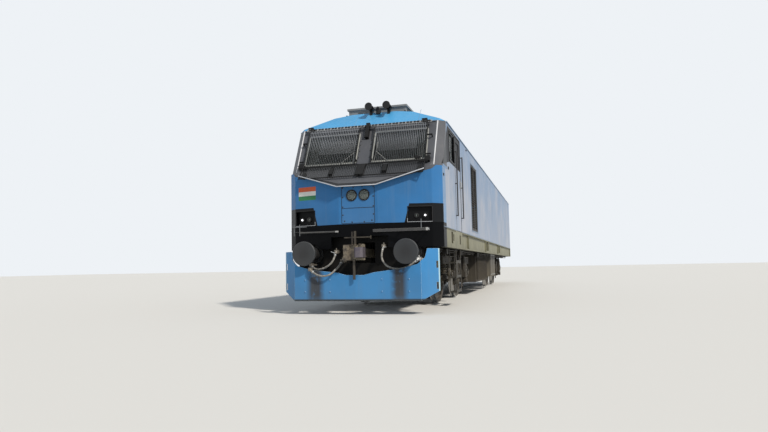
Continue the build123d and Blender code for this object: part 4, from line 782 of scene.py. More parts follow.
# Cab roof. Blue enamelled cap with sealed seams, lifting eyes and a rain gutter
# along both sides. The crown's lighter blue is a painted highlight of its sunlit top, and it is dusty
# behind.
dress(finish("roof_enamel_painted_sunlit", enamel("#4296CB", "#93A6B0", 0.12, 0.38, 0.25, 3.4, 3.8)), "cab_roof")
seams = bmesh.new()
CAP_FOOT = (500, 3728)
CAP_HEAD = (880, 4085)
for x in (-330, 1010):
    rod(seams, (x, CAP_FOOT[0] + 6, CAP_FOOT[1] + 4), (x, CAP_HEAD[0] - 20, CAP_HEAD[1] - 19), 3.5, 10)
rod(seams, (-470, 905, 4086), (470, 905, 4086), 3.5, 10)
sealant = finish("roof_joint_sealant", rubber("#4A78A0", "#7C97AB"))
piece("roof_sealant", seams, sealant)
GUTTER_FOOT = 3716
GUTTER_START = 640
WALL_END = 18240
gutters = bmesh.new()
block(gutters, (1546, GUTTER_START, GUTTER_FOOT), (1566, WALL_END, GUTTER_FOOT + 5), 1.5)
block(gutters, (1562, GUTTER_START, GUTTER_FOOT), (1566, WALL_END, GUTTER_FOOT + 22), 1.5)
mirrored(gutters)
block(gutters, (-1392, 462, GUTTER_FOOT), (1392, 486, GUTTER_FOOT + 6), 1.5)
gutter_enamel = finish("gutter_enamel", enamel("#7088A2", "#98A2AC", 0.3, 0.4))
piece("rain_gutters", gutters, gutter_enamel)
EYE_ACROSS = 640
eyes = bmesh.new()
for station in (980, 2700):
    block(eyes, (EYE_ACROSS - 40, station - 25, 4060), (EYE_ACROSS + 40, station + 25, 4066), 2)
    ring(eyes, 24, 28, 22, 12, 10, Matrix.Translation((EYE_ACROSS, station + 5, 4084)) @ FRONT_TURN)
mirrored(eyes)
piece("lifting_eyes", eyes, screw_steel)

# Horns and their valve. Spun steel bells in black gloss, each with a dull black
# diaphragm cover, fed by a thin pipe from a valve block between them.
dress(finish("black_horn_gloss", enamel("#07080A", "#37383A", 0.06, 0.22, 0.4, edge=2.0)), "horns")
BACK = (0, 1, 0)
HORN_HEIGHT = 4172
HORNS_ACROSS = (-52, 328)
COVER = [(0, 0), (36, 0), (44, 4), (44, 18), (30, 26), (0, 28)]
BELL_RIM = [(78, 0), (81, 2), (78, 5), (72, 4), (60, 40), (55, 40), (70, 2), (78, 0)]
valve = bmesh.new()
for x in HORNS_ACROSS:
    turned(valve, COVER, (x, 900, HORN_HEIGHT), BACK, 24)
    turned(valve, BELL_RIM, (x, 629, HORN_HEIGHT), BACK, 32)
block(valve, (60, 790, 4040), (150, 880, 4160), 8)
rod(valve, (105, 800, 4150), (105, 770, 4178), 34, 20, 26)
rod(valve, (-10, 915, 4160), (290, 915, 4160), 9, 12)
fitting_black = finish("dull_black_fitting", enamel("#121317", "#5C5B59", 0.2, 0.45))
piece("horn_fittings", valve, fitting_black)

# Air conditioner. Sheet steel in cream paint with a lapped lid, louvres in its
# walls and two guarded fans on top.
dress(finish("cream_unit_enamel", enamel("#85888A", "#6B6A66", 0.3, 0.5, 0.2, 4.0, 4.2)), "air_conditioner")
UP = (0, 0, 1)
AC_FRONT = 1090
LOUVRE_PITCH = 12
louvres = bmesh.new()
for foot in range(4108, 4216, LOUVRE_PITCH):
    block(louvres, (628, 1200, foot), (636, 1600, foot + 5), 1)
    block(louvres, (628, 1680, foot), (636, 2080, foot + 5), 1)
mirrored(louvres)
for foot in range(4118, 4202, LOUVRE_PITCH):
    block(louvres, (-420, AC_FRONT - 6, foot), (-60, AC_FRONT + 2, foot + 5), 1)
fans = bmesh.new()
for station in (1370, 1910):
    for radius in (60, 115, 170, 225):
        hoop = [(radius, 0), (radius + 6, 0), (radius + 6, 6), (radius, 6), (radius, 0)]
        turned(fans, hoop, (0, station, 4262), UP, 36)
    for i in range(8):
        spoke = Vector((math.cos(i * math.pi / 4), math.sin(i * math.pi / 4), 0))
        hub = Vector((0, station, 4265))
        beam(fans, hub + spoke * 20, hub + spoke * 228, 6, 5)
    turned(fans, [(0, 8), (34, 8), (38, 2), (38, 0), (0, 0)], (0, station, 4261), UP, 24)
louvre_paint = finish("louvre_grey_paint", enamel("#6E7072", "#55534E", 0.3, 0.5))
piece("conditioner_louvres", louvres, louvre_paint)
piece("conditioner_fans", fans, black_plastic)


# Cab sides and doors. Blue enamel gone pale, partly under dry dust and partly as a painted reflection
# of a bright sky, with fine rain runs, and the black window zone. Doors ride on their own bodies.
WALL_SEAMS = (0.46, 1.04, 2.452, 2.715, 2.952, 6.15, 9.35, 12.55, 15.75)


def side_zones(tree, axes, blue):
    """Pale blue, partly dust and partly painted reflection, with the black window zone and dark sealed panel
    joints.
    """
    station = station_of(tree, axes)
    colour = add(tree, "MixRGB", window_zone(tree, axes), blue, linear("#0B0C0F"))
    for joint in WALL_SEAMS:
        line = between(tree, station, joint - 0.005, joint + 0.005, 0.002)
        seam = both(tree, line, side_face(tree, axes))
        colour = add(tree, "MixRGB", seam, colour, linear("#3D4653"))
    return colour


side_coat = enamel(SIDE_BLUE_DUST_AND_REFLECTION, "#A9AEB8", 0.6, 0.5, 0.12, 1.5, 4.4, zones=side_zones, wiped=window_zone)
side_enamel = finish("side_enamel_dust_and_painted_reflection", side_coat)
dress(side_enamel, "side_walls", "cab_sides", "cab_door_left", "cab_door_right")
WINDOW_MIDDLE = (1260, 3290)
DOOR_MIDDLE = (2045, 2622)
sashes = bmesh.new()
gaskets = bmesh.new()
for side in (-1, 1):
    turn = Matrix(((0, 0, side), (1, 0, 0), (0, 1, 0))).to_4x4()
    window = Matrix.Translation((side * 1549, *WINDOW_MIDDLE)) @ turn
    ring(gaskets, 352, 332, 50, 26, 7, window)
    ring(sashes, 326, 306, 34, 22, 5, window @ Matrix.Translation((0, 0, -8)))
    block(sashes, (-13, -300, -8), (13, 300, -2), 2, 2, window)
    block(sashes, (-322, -296, 4), (322, -280, 12), 2, 2, window)
    ring(gaskets, 366, 1032, 26, 12, 4, Matrix.Translation((side * 1548, *DOOR_MIDDLE)) @ turn)
# The sashes take the same chrome painted dark, a painted reflection.
piece("side_window_sashes", sashes, finish("satin_aluminium_sash", dark_painted_chrome))
piece("side_gaskets", gaskets, black_plastic)

# Side fittings. A pressed ledge at the waist, small dull black plugs and covers near
# the pillar, a hook under the gutter, and a bright lever handle on each door.
def zinc(bright, tarnish, rough=0.38, spangle=14):
    def build(tree, place):
        flakes = add(tree, "TexVoronoi", place, Scale=grain(spangle))
        clouds = add(tree, "TexNoise", place, None, grain(60), 4.0, 0.6)
        shown = add(tree, "MapRange", clouds, 0.35, 0.7, 0.0, 1.0)
        shown = add(tree, "MixRGB", shown, linear(bright), linear(tarnish))
        dull = add(tree, "MapRange", flakes, 0.0, 0.8, rough - 0.08, rough + 0.14)
        relief = add(tree, "Bump", Strength=0.25, Distance=0.0004, Height=clouds)
        return add(tree, "BsdfPrincipled", shown, Roughness=dull, Metallic=0.75, Normal=relief)

    return build


bright_zinc = finish("bright_zinc_plate", zinc("#C9CCCE", "#9A9C9A"))
RIGHT = (1, 0, 0)
SIDE = 1550
LEDGE_FOOT = 1596
# The ledge stops ahead of the door and goes on behind it
LEDGE_RUNS = ((100, 1672), (2418, WALL_END))
ledge = bmesh.new()
for start, end in LEDGE_RUNS:
    block(ledge, (SIDE - 4, start, LEDGE_FOOT), (SIDE + 7, end, LEDGE_FOOT + 11), 2)
mirrored(ledge)
piece("waist_ledges", ledge, gutter_enamel)
plugs = bmesh.new()
block(plugs, (SIDE - 2, 722, 2774), (SIDE + 14, 788, 2828), 4)
block(plugs, (SIDE - 2, 152, 2572), (SIDE + 12, 228, 2618), 4)
block(plugs, (SIDE - 2, 3420, 3628), (SIDE + 8, 3460, 3668), 3)
rod(plugs, (SIDE + 6, 3440, 3655), (SIDE + 28, 3440, 3625), 6, 12)
rod(plugs, (SIDE + 28, 3440, 3625), (SIDE + 30, 3440, 3650), 6, 12)
mirrored(plugs)
piece("side_plugs", plugs, fitting_black)
LEVER = 2340
PIVOT_HEIGHT = 2706
for side, body in ((-1, "cab_door_left"), (1, "cab_door_right")):
    handle = bmesh.new()
    block(handle, (SIDE - 1, LEVER - 28, 2560), (SIDE + 5, LEVER + 28, 2756), 3)
    rod(handle, (SIDE + 4, LEVER, PIVOT_HEIGHT), (SIDE + 30, LEVER, PIVOT_HEIGHT), 9, 16)
    rod(handle, (SIDE + 27, LEVER, PIVOT_HEIGHT + 6), (SIDE + 27, LEVER, 2596), 8, 16)
    turned(handle, [(0, 4), (11, 4), (12, 0), (0, 0)], (SIDE + 5, LEVER, 2590), RIGHT, 18)
    bmesh.ops.scale(handle, vec=(side, 1, 1), verts=handle.verts)
    piece(body + "_handle", handle, bright_zinc, body)


# Steps and handrails. Folded steel ladders in black paint, bare on their treads,
# and rails of round bar. The long front rail is grey with bright ends.
def rail_zones(tree, axes, grey):
    inner = between(tree, axes.outputs["X"], -0.44, -0.36)
    outer = between(tree, axes.outputs["X"], 1.30, 1.37)
    ends = add(tree, "Math", inner, outer, operation="MAXIMUM")
    return add(tree, "MixRGB", ends, grey, linear("#B7B9BA"))


step_coat = enamel("#101113", "#5B574E", 0.25, 0.45, chips="#7C7973", edge=3.0)
dress(finish("worn_step_paint", step_coat), "cab_steps")
rail_coat = enamel("#303236", "#6C6A66", 0.22, 0.4, zones=rail_zones, chips="#8C8B88")
dress(finish("dusty_rail_paint", rail_coat), "handrails")
RAIL_STATION = -372
front_rails = bmesh.new()
rod(front_rails, (-1310, RAIL_STATION, 1648), (-1020, RAIL_STATION, 1648), 6, 14)
for x in (-1280, -1164):
    rod(front_rails, (x, RAIL_STATION, 1478), (x, RAIL_STATION, 1698), 6, 14)
    rod(front_rails, (x, RAIL_STATION, 1560), (x, prow_station(x) + 4, 1560), 6, 14)
rod(front_rails, (1215, RAIL_STATION, 1545), (1215, RAIL_STATION, 1720), 6, 14)
rod(front_rails, (1215, RAIL_STATION, 1560), (1215, prow_station(1215) + 4, 1560), 6, 14)
piece("front_stub_rails", front_rails, finish("dull_zinc_plate", zinc("#8B8F93", "#6A6C6D")))

# Side intakes. Steel louvres in dark grey enamel, full of brown dust, in a folded
# frame that is screwed to the wall.
dress(finish("dusty_louvre_enamel", enamel("#343434", "#57534D", 0.3, 0.55, edge=2.0)), "intake_grilles")
INTAKE_MIDDLE = (4825, 2595)
INTAKE_HALF = (625, 855)
frames = bmesh.new()
side_turn = Matrix(((0, 0, 1), (1, 0, 0), (0, 1, 0))).to_4x4()
intake_place = Matrix.Translation((SIDE - 2, *INTAKE_MIDDLE)) @ side_turn
ring(frames, INTAKE_HALF[0] + 28, INTAKE_HALF[1] + 28, 12, 26, 9, intake_place)
for along in range(-3, 4):
    for height in (-1, 1):
        foot = (SIDE + 6, INTAKE_MIDDLE[0] + along * 200, INTAKE_MIDDLE[1] + height * (INTAKE_HALF[1] + 15))
        turned(frames, SCREW_HEAD, foot, RIGHT, 12)
mirrored(frames)
piece("intake_frames", frames, gutter_enamel)


# Underframe. Rolled and welded steel. The side sills wear a cream coat that has gone
# olive with brake dust; the headstock and the floor are black and greasy.
SILL_FACE = 1.395
SILL_SEAMS = (0.95, 1.64, 3.55, 7.8, 12.2, 16.5)
# Openings near the cab, painted dark as painted shade: from and to in station, then in height
SILL_OPENINGS_PAINTED_SHADE = (((0.96, 1.14), (1.31, 1.545)), ((1.19, 1.28), (1.36, 1.50)), ((2.05, 2.19), (1.316, 1.512)))


def sill_zones(tree, axes, black):
    """Cream on the outside, black within, with dark seams, openings painted dark as painted shade, and grime
    below.
    """
    width = off_middle(tree, axes)
    station = station_of(tree, axes)
    outer = add(tree, "Math", width, SILL_FACE, operation="GREATER_THAN")
    colour = add(tree, "MixRGB", outer, black, linear("#84836F"))
    colour = add(tree, "MixRGB", between(tree, width, 1.40, 1.494, 0.002), colour, linear("#191917"))
    for joint in SILL_SEAMS:
        line = both(tree, between(tree, station, joint - 0.006, joint + 0.006), outer)
        colour = add(tree, "MixRGB", line, colour, linear("#2E2D29"))
    for place in SILL_OPENINGS_PAINTED_SHADE:
        hole = both(tree, oblong(tree, station, axes.outputs["Z"], place), outer)
        colour = add(tree, "MixRGB", hole, colour, linear("#131312"))
    spot = add(tree, "TexCoord").outputs["Object"]
    grime = add(tree, "TexNoise", spot, None, grain(260), 5.0, 0.65)
    grime = add(tree, "MapRange", grime, 0.45, 0.7, 0.0, 0.55)
    lower = add(tree, "MapRange", axes.outputs["Z"], 1.52, 1.22, 0.1, 1.0)
    return add(tree, "MixRGB", both(tree, grime, lower, outer), colour, linear("#3B3A34"))


sill_coat = enamel("#0B0C0E", "#403D36", 0.12, 0.5, 0.12, 0.6, 1.5, zones=sill_zones, edge=4.0)
dress(finish("grimy_sill_enamel", sill_coat), "underframe")
PIPES_FROM = 480
PIPES_TO = 17800
HANGER_PITCH = 950
# Two rows, so that no hanger stands where the turned rear bogie comes near
HANGERS = list(range(700, 12200, HANGER_PITCH)) + list(range(13950, 16000, HANGER_PITCH))
VALVE_BOXES = (980, 2960, 6100)
pipes = bmesh.new()
for height, x, radius in ((1192, 1352, 16), (1150, 1330, 11), (1205, 1300, 20)):
    rod(pipes, (x, PIPES_FROM, height), (x, PIPES_TO, height), radius, 12)
for station in HANGERS:
    block(pipes, (1290, station, 1128), (1372, station + 30, 1222), 3)
for station in VALVE_BOXES:
    block(pipes, (1330, station, 1090), (1440, station + 160, 1205), 8)
    rod(pipes, (1385, station + 80, 1092), (1385, station + 80, 1050), 14, 14)
mirrored(pipes)
iron_coat = enamel("#151517", "#5A554B", 0.28, 0.5, 0.15, 0.4, 1.3, edge=3.0)
dusty_iron = finish("dusty_black_iron", iron_coat)
piece("sill_pipes", pipes, dusty_iron)


def bolt(shape, foot, axis, radius, tall, crown=2):
    """A hexagon head whose top is a little higher in the middle."""
    turned(shape, [(0, 0), (radius, 0), (radius, tall), (0, tall + crown)], foot, axis, 6)


sill_bolts = bmesh.new()
for station in list(range(300, 1600, 130)) + list(range(2560, 18200, 340)):
    bolt(sill_bolts, (SIDE, station, 1572), RIGHT, 11, 7, 1)
mirrored(sill_bolts)
piece("sill_bolts", sill_bolts, dusty_iron)


# Buffers. Forged steel heads, black with old grease in the middle and rubbed grey
# round it, on a ribbed sleeve. Each sleeve's flange has six bolts.
BUFFER_PLACE = (978, 1133)
BUFFER_FACE = -0.59
NUT_CIRCLE = 155
NUT = [(0, 0), (17, 0), (17, 13), (14, 16), (0, 16)]


def buffer_wear(tree, axes, dark):
    """Old grease in the middle of the face and rubbed steel round it."""
    off_x = add(tree, "Math", off_middle(tree, axes), BUFFER_PLACE[0] / 1000, operation="SUBTRACT")
    off_z = add(tree, "Math", axes.outputs["Z"], BUFFER_PLACE[1] / 1000, operation="SUBTRACT")
    arm = add(tree, "CombineXYZ", off_x, 0.0, off_z)
    radius = add(tree, "VectorMath", arm, operation="LENGTH").outputs["Value"]
    rubbed = add(tree, "MapRange", radius, 0.05, 0.17, 0.0, 1.0)
    colour = add(tree, "MixRGB", rubbed, linear("#2B2D31"), linear("#33363A"))
    ahead = add(tree, "Math", station_of(tree, axes), BUFFER_FACE, operation="LESS_THAN")
    return add(tree, "MixRGB", ahead, dark, colour)


buffer_coat = enamel("#17181B", "#55534E", 0.12, 0.42, 0.25, 0.7, 1.5, buffer_wear, "#5C5E61")
dress(finish("greased_buffer_steel", buffer_coat), "buffers")
nuts = bmesh.new()
for i in range(6):
    angle = (i + 0.5) * math.pi / 3
    x = BUFFER_PLACE[0] + NUT_CIRCLE * math.cos(angle)
    height = BUFFER_PLACE[1] + NUT_CIRCLE * math.sin(angle)
    turned(nuts, NUT, (x, -90, height), AHEAD, 6)
mirrored(nuts)
for x in (-1080, -860, -640, 640, 860, 1080):
    bolt(nuts, (x, -60, 760), AHEAD, 15, 11)
piece("headstock_nuts", nuts, dusty_iron)


# Coupler. Sand-cast steel, brown on its guard arm, beige with dust in its throat,
# and bare purple-grey steel on the knuckle, where it rubs. Its levers are near black.
def coupler_zones(tree, axes, iron):
    left = add(tree, "MapRange", axes.outputs["X"], -0.05, 0.02, 1.0, 0.0)
    return add(tree, "MixRGB", left, iron, linear("#3F3936"))


def cast(base, dust, share, rough, metallic, zones=None, dark=None):
    """Sand-cast metal: coarse grain, dust in its hollows, rust stains 80 mm wide. It is
    nearly black where dark(tree, axes) is 1."""

    def build(tree, place):
        axes = add(tree, "SeparateXYZ", place)
        colour = zones(tree, axes, linear(base)) if zones else linear(base)
        stain = add(tree, "TexNoise", place, None, grain(80), 5.0, 0.65)
        stain = add(tree, "MapRange", stain, 0.4, 0.7, 0.0, share)
        shown = add(tree, "MixRGB", stain, colour, linear(dust))
        if dark:
            shown = add(tree, "MixRGB", dark(tree, axes), shown, linear("#25211F"))
        sand = add(tree, "TexNoise", place, None, grain(7), 3.0, 0.6)
        dull = add(tree, "MapRange", sand, 0.3, 0.7, rough - 0.08, rough + 0.1)
        soft_edge = add(tree, "Bevel", 0.004, samples=4)
        relief = add(tree, "Bump", Strength=0.6, Distance=0.0012, Height=sand, Normal=soft_edge)
        return add(tree, "BsdfPrincipled", shown, Roughness=dull, Metallic=metallic, Normal=relief)

    return build


def lever_rods(tree, axes):
    """The lift levers above and below the coupler's head, greasy and dark."""
    high = add(tree, "MapRange", axes.outputs["Z"], 1.278, 1.29, 0.0, 0.8)
    low = add(tree, "MapRange", axes.outputs["Z"], 0.985, 0.97, 0.0, 0.8)
    return add(tree, "Math", high, low, operation="MAXIMUM")


coupler_iron = cast("#6F685B", "#9A907B", 0.7, 0.6, 0.2, coupler_zones, lever_rods)
dress(finish("dusty_cast_coupler", coupler_iron), "coupler_head")
dress(finish("rubbed_cast_knuckle", cast("#5A5560", "#7F7875", 0.5, 0.45, 0.45)), "coupler_knuckle")
coupler_ribs = bmesh.new()
block(coupler_ribs, (-178, -640, 1262), (60, -470, 1276), 4)
block(coupler_ribs, (-178, -640, 990), (40, -470, 1002), 4)
turned(coupler_ribs, [(0, 0), (30, 0), (30, 14), (22, 20), (0, 20)], (100, -560, 1272), UP, 24)
rust_cast = finish("rusty_cast_fitting", cast("#3F3932", "#6B5E4D", 0.6, 0.65, 0.2))
piece("coupler_ribs", coupler_ribs, rust_cast, "coupler")


# Plough. Welded blue plate, its blue lighter than the nose's as painted sunlight, with a black worn toe,
# outer edges painted pale as a painted highlight, stones' chips, two brown-black bands under the buffers and
# a bolt row on its stiffener.
PAINTED_HIGHLIGHT_REACH = 1.495
DARK_BAND_FOOT = 0.16
# From and to across, and the upper end
DARK_BANDS = ((-0.93, -0.66, 1.1), (0.70, 0.94, 1.2))


def plough_zones(tree, axes, blue):
    toe = add(tree, "MapRange", axes.outputs["Z"], 0.272, 0.296, 1.0, 0.0)
    colour = add(tree, "MixRGB", toe, blue, linear("#16171B"))
    spot = add(tree, "TexCoord").outputs["Object"]
    # The outer edges are painted pale blue: a painted highlight.
    edge = add(tree, "Math", off_middle(tree, axes), PAINTED_HIGHLIGHT_REACH, operation="GREATER_THAN")
    colour = add(tree, "MixRGB", edge, colour, linear("#A9CEDF"))
    spots = add(tree, "TexNoise", spot, None, grain(160), 5.0, 0.7)
    spots = add(tree, "MapRange", spots, 0.24, 0.46, 0.0, 0.95)
    # Two brown-black vertical bands under the buffers, from the toe upwards.
    for low, high, head in DARK_BANDS:
        rise = between(tree, axes.outputs["Z"], DARK_BAND_FOOT, head, 0.2)
        run = both(tree, between(tree, axes.outputs["X"], low, high, 0.06), rise)
        colour = add(tree, "MixRGB", both(tree, run, spots), colour, linear("#2A2320"))
    return colour


# The plough's blue is lighter than the nose's: the sunlit copy of the same paint, painted light.
plough_coat = enamel("#357FB8", "#70787B", 0.14, 0.4, 0.25, 0.3, 0.9, plough_zones, "#BCD0DA")
plough_enamel = finish("chipped_plough_enamel", plough_coat)
dress(plough_enamel, "plough")
PLOUGH_NOSE = -545
PLOUGH_SLANT = 45 / 1220
STUD = [(0, -4), (14, -4), (14, 6), (10, 11), (0, 12)]
plough_bolts = bmesh.new()
for x in (-1000, -500, 500, 1000):
    for height in (420, 640):
        turned(plough_bolts, STUD, (x, PLOUGH_NOSE + PLOUGH_SLANT * abs(x), height), AHEAD, 16)
piece("plough_bolts", plough_bolts, plough_enamel)


# Hose ends. Plated couplings and worm clamps on the rubber, short levers, and dull
# cast cocks on the headstock, of which the outermost is bright.
OUTER_COCK = 1.04


def bright_cocks(tree, axes, iron):
    bright = add(tree, "Math", axes.outputs["X"], OUTER_COCK, operation="GREATER_THAN")
    return add(tree, "MixRGB", bright, iron, linear("#E2E4E4"))


cock_metal = cast("#77736D", "#99917F", 0.5, 0.42, 0.5, bright_cocks)
dress(finish("cast_air_cock", cock_metal), "hose_cocks")
RADIUS = HOSE_DIAMETER * 500
CLAMP = [(RADIUS, 10), (RADIUS + 4, 10), (RADIUS + 4, 26), (RADIUS, 26), (RADIUS, 10)]
COLLAR = [(RADIUS - 2, -3), (RADIUS + 7, -3), (RADIUS + 7, 7), (RADIUS + 1, 9)]
COLLAR += [(RADIUS - 2, 9), (RADIUS - 2, -3)]
UNION = [(0, -8), (26, -8), (30, 0), (30, 24), (24, 32), (0, 32)]
couplings = bmesh.new()
for _, _, route in HOSES:
    points = [Vector((x, station, height + RAIL * 1000)) for x, station, height in route]
    for end, towards in ((points[0], points[1]), (points[-1], points[-2])):
        axis = (towards - end).normalized()
        turned(couplings, CLAMP, end, axis, 24)
        turned(couplings, COLLAR, end, axis, 24)
rod(couplings, (-462, -345, 1135), (-540, -352, 1165), 9, 14, 7)
rod(couplings, (470, -345, 1212), (545, -352, 1232), 9, 14, 7)
turned(couplings, UNION, (1112, -372, 966), (1, 0.2, 1), 24)
rod(couplings, (1338, -362, 1535), (1356, -362, 1535), 15, 18)
piece("hose_couplings", couplings, bright_zinc)

# Bogies. Welded box frames in dark grey paint, coated with dry track dust, with iron
# axleboxes, coil springs and motors. Bolts, brake shoes and pipes are added here.
BOGIES = (("front", 4050), ("rear", 14450))
AXLE_OFF = 1300
AXLE_HEIGHT = 653
BOX_FACE = 1248
SHOE_RADIUS = 666
FRAME_FACE = 1170
COVER_CIRCLE = 92
HANGER_OFF = 690
HUB_CAP = [(0, 0), (46, 0), (46, 8), (38, 12), (0, 12)]
frame_coat = enamel("#141416", "#655F54", 0.3, 0.55, 0.15, 0.4, 1.1, edge=6.0)
dress(finish("dusty_bogie_paint", frame_coat), "bogie_frame_front", "bogie_frame_rear")
box_iron = finish("dusty_axlebox_iron", cast("#1D1B19", "#938A76", 0.62, 0.62, 0.15))
dress(box_iron, "bogie_suspension_front", "bogie_suspension_rear")
motor_iron = finish("oily_motor_iron", cast("#0F0F11", "#3A362F", 0.6, 0.45, 0.2))
dress(motor_iron, "traction_motors_front", "traction_motors_rear")
for name, pivot in BOGIES:
    studs = bmesh.new()
    shoes = bmesh.new()
    for end in (-1, 1):
        axle = pivot + end * AXLE_OFF
        for i in range(8):
            angle = (i + 0.5) * math.pi / 4
            along = COVER_CIRCLE * math.cos(angle)
            up = COVER_CIRCLE * math.sin(angle)
            bolt(studs, (BOX_FACE, axle + along, AXLE_HEIGHT + up), RIGHT, 13, 9)
        turned(studs, HUB_CAP, (BOX_FACE, axle, AXLE_HEIGHT), RIGHT, 28)
        rod(studs, (1268, axle + 60, AXLE_HEIGHT + 40), (1268, axle + end * -480, 905), 9, 10)
        for height in (560, 640, 720):
            drop = height - AXLE_HEIGHT
            shoe = axle - end * math.sqrt(SHOE_RADIUS ** 2 - drop ** 2)
            block(shoes, (812, shoe - 22, height - 38), (922, shoe + 22, height + 38), 6)
        hanger = axle - end * HANGER_OFF
        block(shoes, (850, hanger - 20, 520), (884, hanger + 20, 960), 5)
    for offset in (-1700, -900, -420, 420, 900, 1700):
        for height in (1040, 955):
            bolt(studs, (FRAME_FACE, pivot + offset, height), RIGHT, 16, 10)
    rod(studs, (1182, pivot - 1900, 1075), (1182, pivot + 1900, 1075), 11, 12)
    mirrored(studs)
    mirrored(shoes)
    piece("bogie_fittings_" + name, studs, box_iron, "bogie_" + name)
    piece("brake_shoes_" + name, shoes, rust_cast, "bogie_" + name)


# Wheels. Forged steel discs, brown with rust and dust, their treads and flanges
# rolled bright by the rail. Twelve bolts hold each brake ring.
TREAD_START = 0.612
BRAKE_CIRCLE = 300
BRAKE_BOLT = [(0, -14), (14, -14), (14, 8), (0, 10)]


def wheel_steel(station):
    def build(tree, place):
        axes = add(tree, "SeparateXYZ", place)
        off_y = add(tree, "Math", axes.outputs["Y"], FRONT + station / 1000, operation="SUBTRACT")
        off_z = add(tree, "Math", axes.outputs["Z"], AXLE_HEIGHT / 1000, operation="SUBTRACT")
        radius = add(tree, "VectorMath", add(tree, "CombineXYZ", 0.0, off_y, off_z), operation="LENGTH")
        tread = add(tree, "MapRange", radius.outputs["Value"], TREAD_START, TREAD_START + 0.008, 0.0, 1.0)
        rust = add(tree, "TexNoise", place, None, grain(70), 5.0, 0.65)
        rust = add(tree, "MapRange", rust, 0.38, 0.66, 0.0, 1.0)
        disc = add(tree, "MixRGB", rust, linear("#1F1C19"), linear("#5C5449"))
        shown = add(tree, "MixRGB", tread, disc, linear("#A9A9A8"))
        dull = add(tree, "MapRange", tread, 0.0, 1.0, 0.65, 0.28)
        metal = add(tree, "MapRange", tread, 0.0, 1.0, 0.2, 0.95)
        sand = add(tree, "TexNoise", place, None, grain(10), 3.0, 0.6)
        relief = add(tree, "Bump", Strength=0.35, Distance=0.0008, Height=sand)
        return add(tree, "BsdfPrincipled", shown, Roughness=dull, Metallic=metal, Normal=relief)

    return build


for number in range(4):
    station = BOGIES[number // 2][1] + AXLE_OFF * (1 if number % 2 else -1)
    wheelset = f"wheelset_{number + 1}"
    dress(finish(f"rolled_wheel_steel_{number + 1}", wheel_steel(station)), wheelset)
    bolts = bmesh.new()
    for i in range(12):
        angle = i * math.pi / 6
        along = BRAKE_CIRCLE * math.cos(angle)
        up = BRAKE_CIRCLE * math.sin(angle)
        turned(bolts, BRAKE_BOLT, (936, station + along, AXLE_HEIGHT + up), RIGHT, 6)
    mirrored(bolts)
    piece(wheelset + "_bolts", bolts, box_iron, wheelset)

# Underfloor boxes. Sheet-steel cases in grey paint under a layer of dust, with toggle
# latches and screwed covers. The ribbed transformer tank is welded shut.
tank_coat = enamel("#1E1E1F", "#5E584D", 0.36, 0.55, 0.15, 0.4, 1.2, chips="#6B6359")
dress(finish("dusty_tank_paint", tank_coat), "transformer_tank")
dress(finish("dusty_case_paint", enamel("#3A3C3E", "#7D7668", 0.4, 0.52, 0.2, 0.5, 1.2)), "underfloor_boxes")
dress(finish("black_bolster_paint", enamel("#131416", "#5A554B", 0.28, 0.5, 0.2, 0.7, 1.3)), "body_bolsters")
CASE_FROM = 10230
CASE_TO = 11800
LATCH_PITCH = 270
latches = bmesh.new()
for station in range(CASE_FROM, CASE_TO, LATCH_PITCH):
    block(latches, (1392, station, 1180), (1412, station + 42, 1262), 4)
    rod(latches, (1408, station + 21, 1172), (1408, station + 21, 1240), 5, 10)
    block(latches, (1392, station, 500), (1404, station + 42, 536), 3)
mirrored(latches)
piece("case_latches", latches, bright_zinc)

# Machine-room roof. Side slopes in faded grey-blue enamel, and removable hatches with
# clamped edges, each lid sealed and bolted down.
shoulder_coat = enamel("#6F87A2", "#969EA6", 0.3, 0.45, 0.2, 3.5, 4.0)
dress(finish("faded_shoulder_enamel", shoulder_coat), "roof_shoulders")
dress(finish("sooty_roof_paint", enamel("#6C6E72", "#55514B", 0.4, 0.6, 0.2, 3.7, 4.1)), "roof_hatches")
LID_HEIGHT = 4005
LID_FROM = 3050
LID_TO = 12500
LID_BOLT_PITCH = 320
lid_bolts = bmesh.new()
for station in range(LID_FROM, LID_TO, LID_BOLT_PITCH):
    bolt(lid_bolts, (640, station, LID_HEIGHT), UP, 13, 9)
mirrored(lid_bolts)
piece("lid_bolts", lid_bolts, dusty_iron)


# Pantograph. Steel tube arms in red-brown primer on porcelain posts, and a light alloy
# head with two black carbon strips. A copper bar leads back to the breaker.
POST_HEAD = 3.932
CARBON_FOOT = 4.27


def panto_zones(tree, axes, red):
    posts = add(tree, "Math", axes.outputs["Z"], POST_HEAD, operation="LESS_THAN")
    return add(tree, "MixRGB", posts, red, linear("#5A2E22"))


def head_zones(tree, axes, alloy):
    carbon = add(tree, "Math", axes.outputs["Z"], CARBON_FOOT, operation="GREATER_THAN")
    return add(tree, "MixRGB", carbon, alloy, linear("#141416"))


base_coat = enamel("#7B3B33", "#5B4C42", 0.3, 0.3, 0.4, 3.8, 4.1, panto_zones)
dress(finish("glazed_post_and_red_primer", base_coat), "pantograph_base")
primer_coat = enamel("#83413A", "#6B5A4E", 0.25, 0.42, 0.0, 3.9, 4.3, chips="#9B9894")
red_primer = finish("red_primer_tube", primer_coat)
dress(red_primer, "pantograph_lower_arm", "pantograph_thrust_rod", "pantograph_upper_arm")
head_coat = enamel("#9B9C9C", "#5C5A56", 0.3, 0.4, zones=head_zones, edge=2.0)
dress(finish("alloy_and_carbon_head", head_coat), "pantograph_head")
porcelain = enamel("#6A3A2C", "#5E544A", 0.2, 0.22, 0.5, 3.8, 4.1)
dress(finish("glazed_breaker_porcelain", porcelain), "roof_breaker")


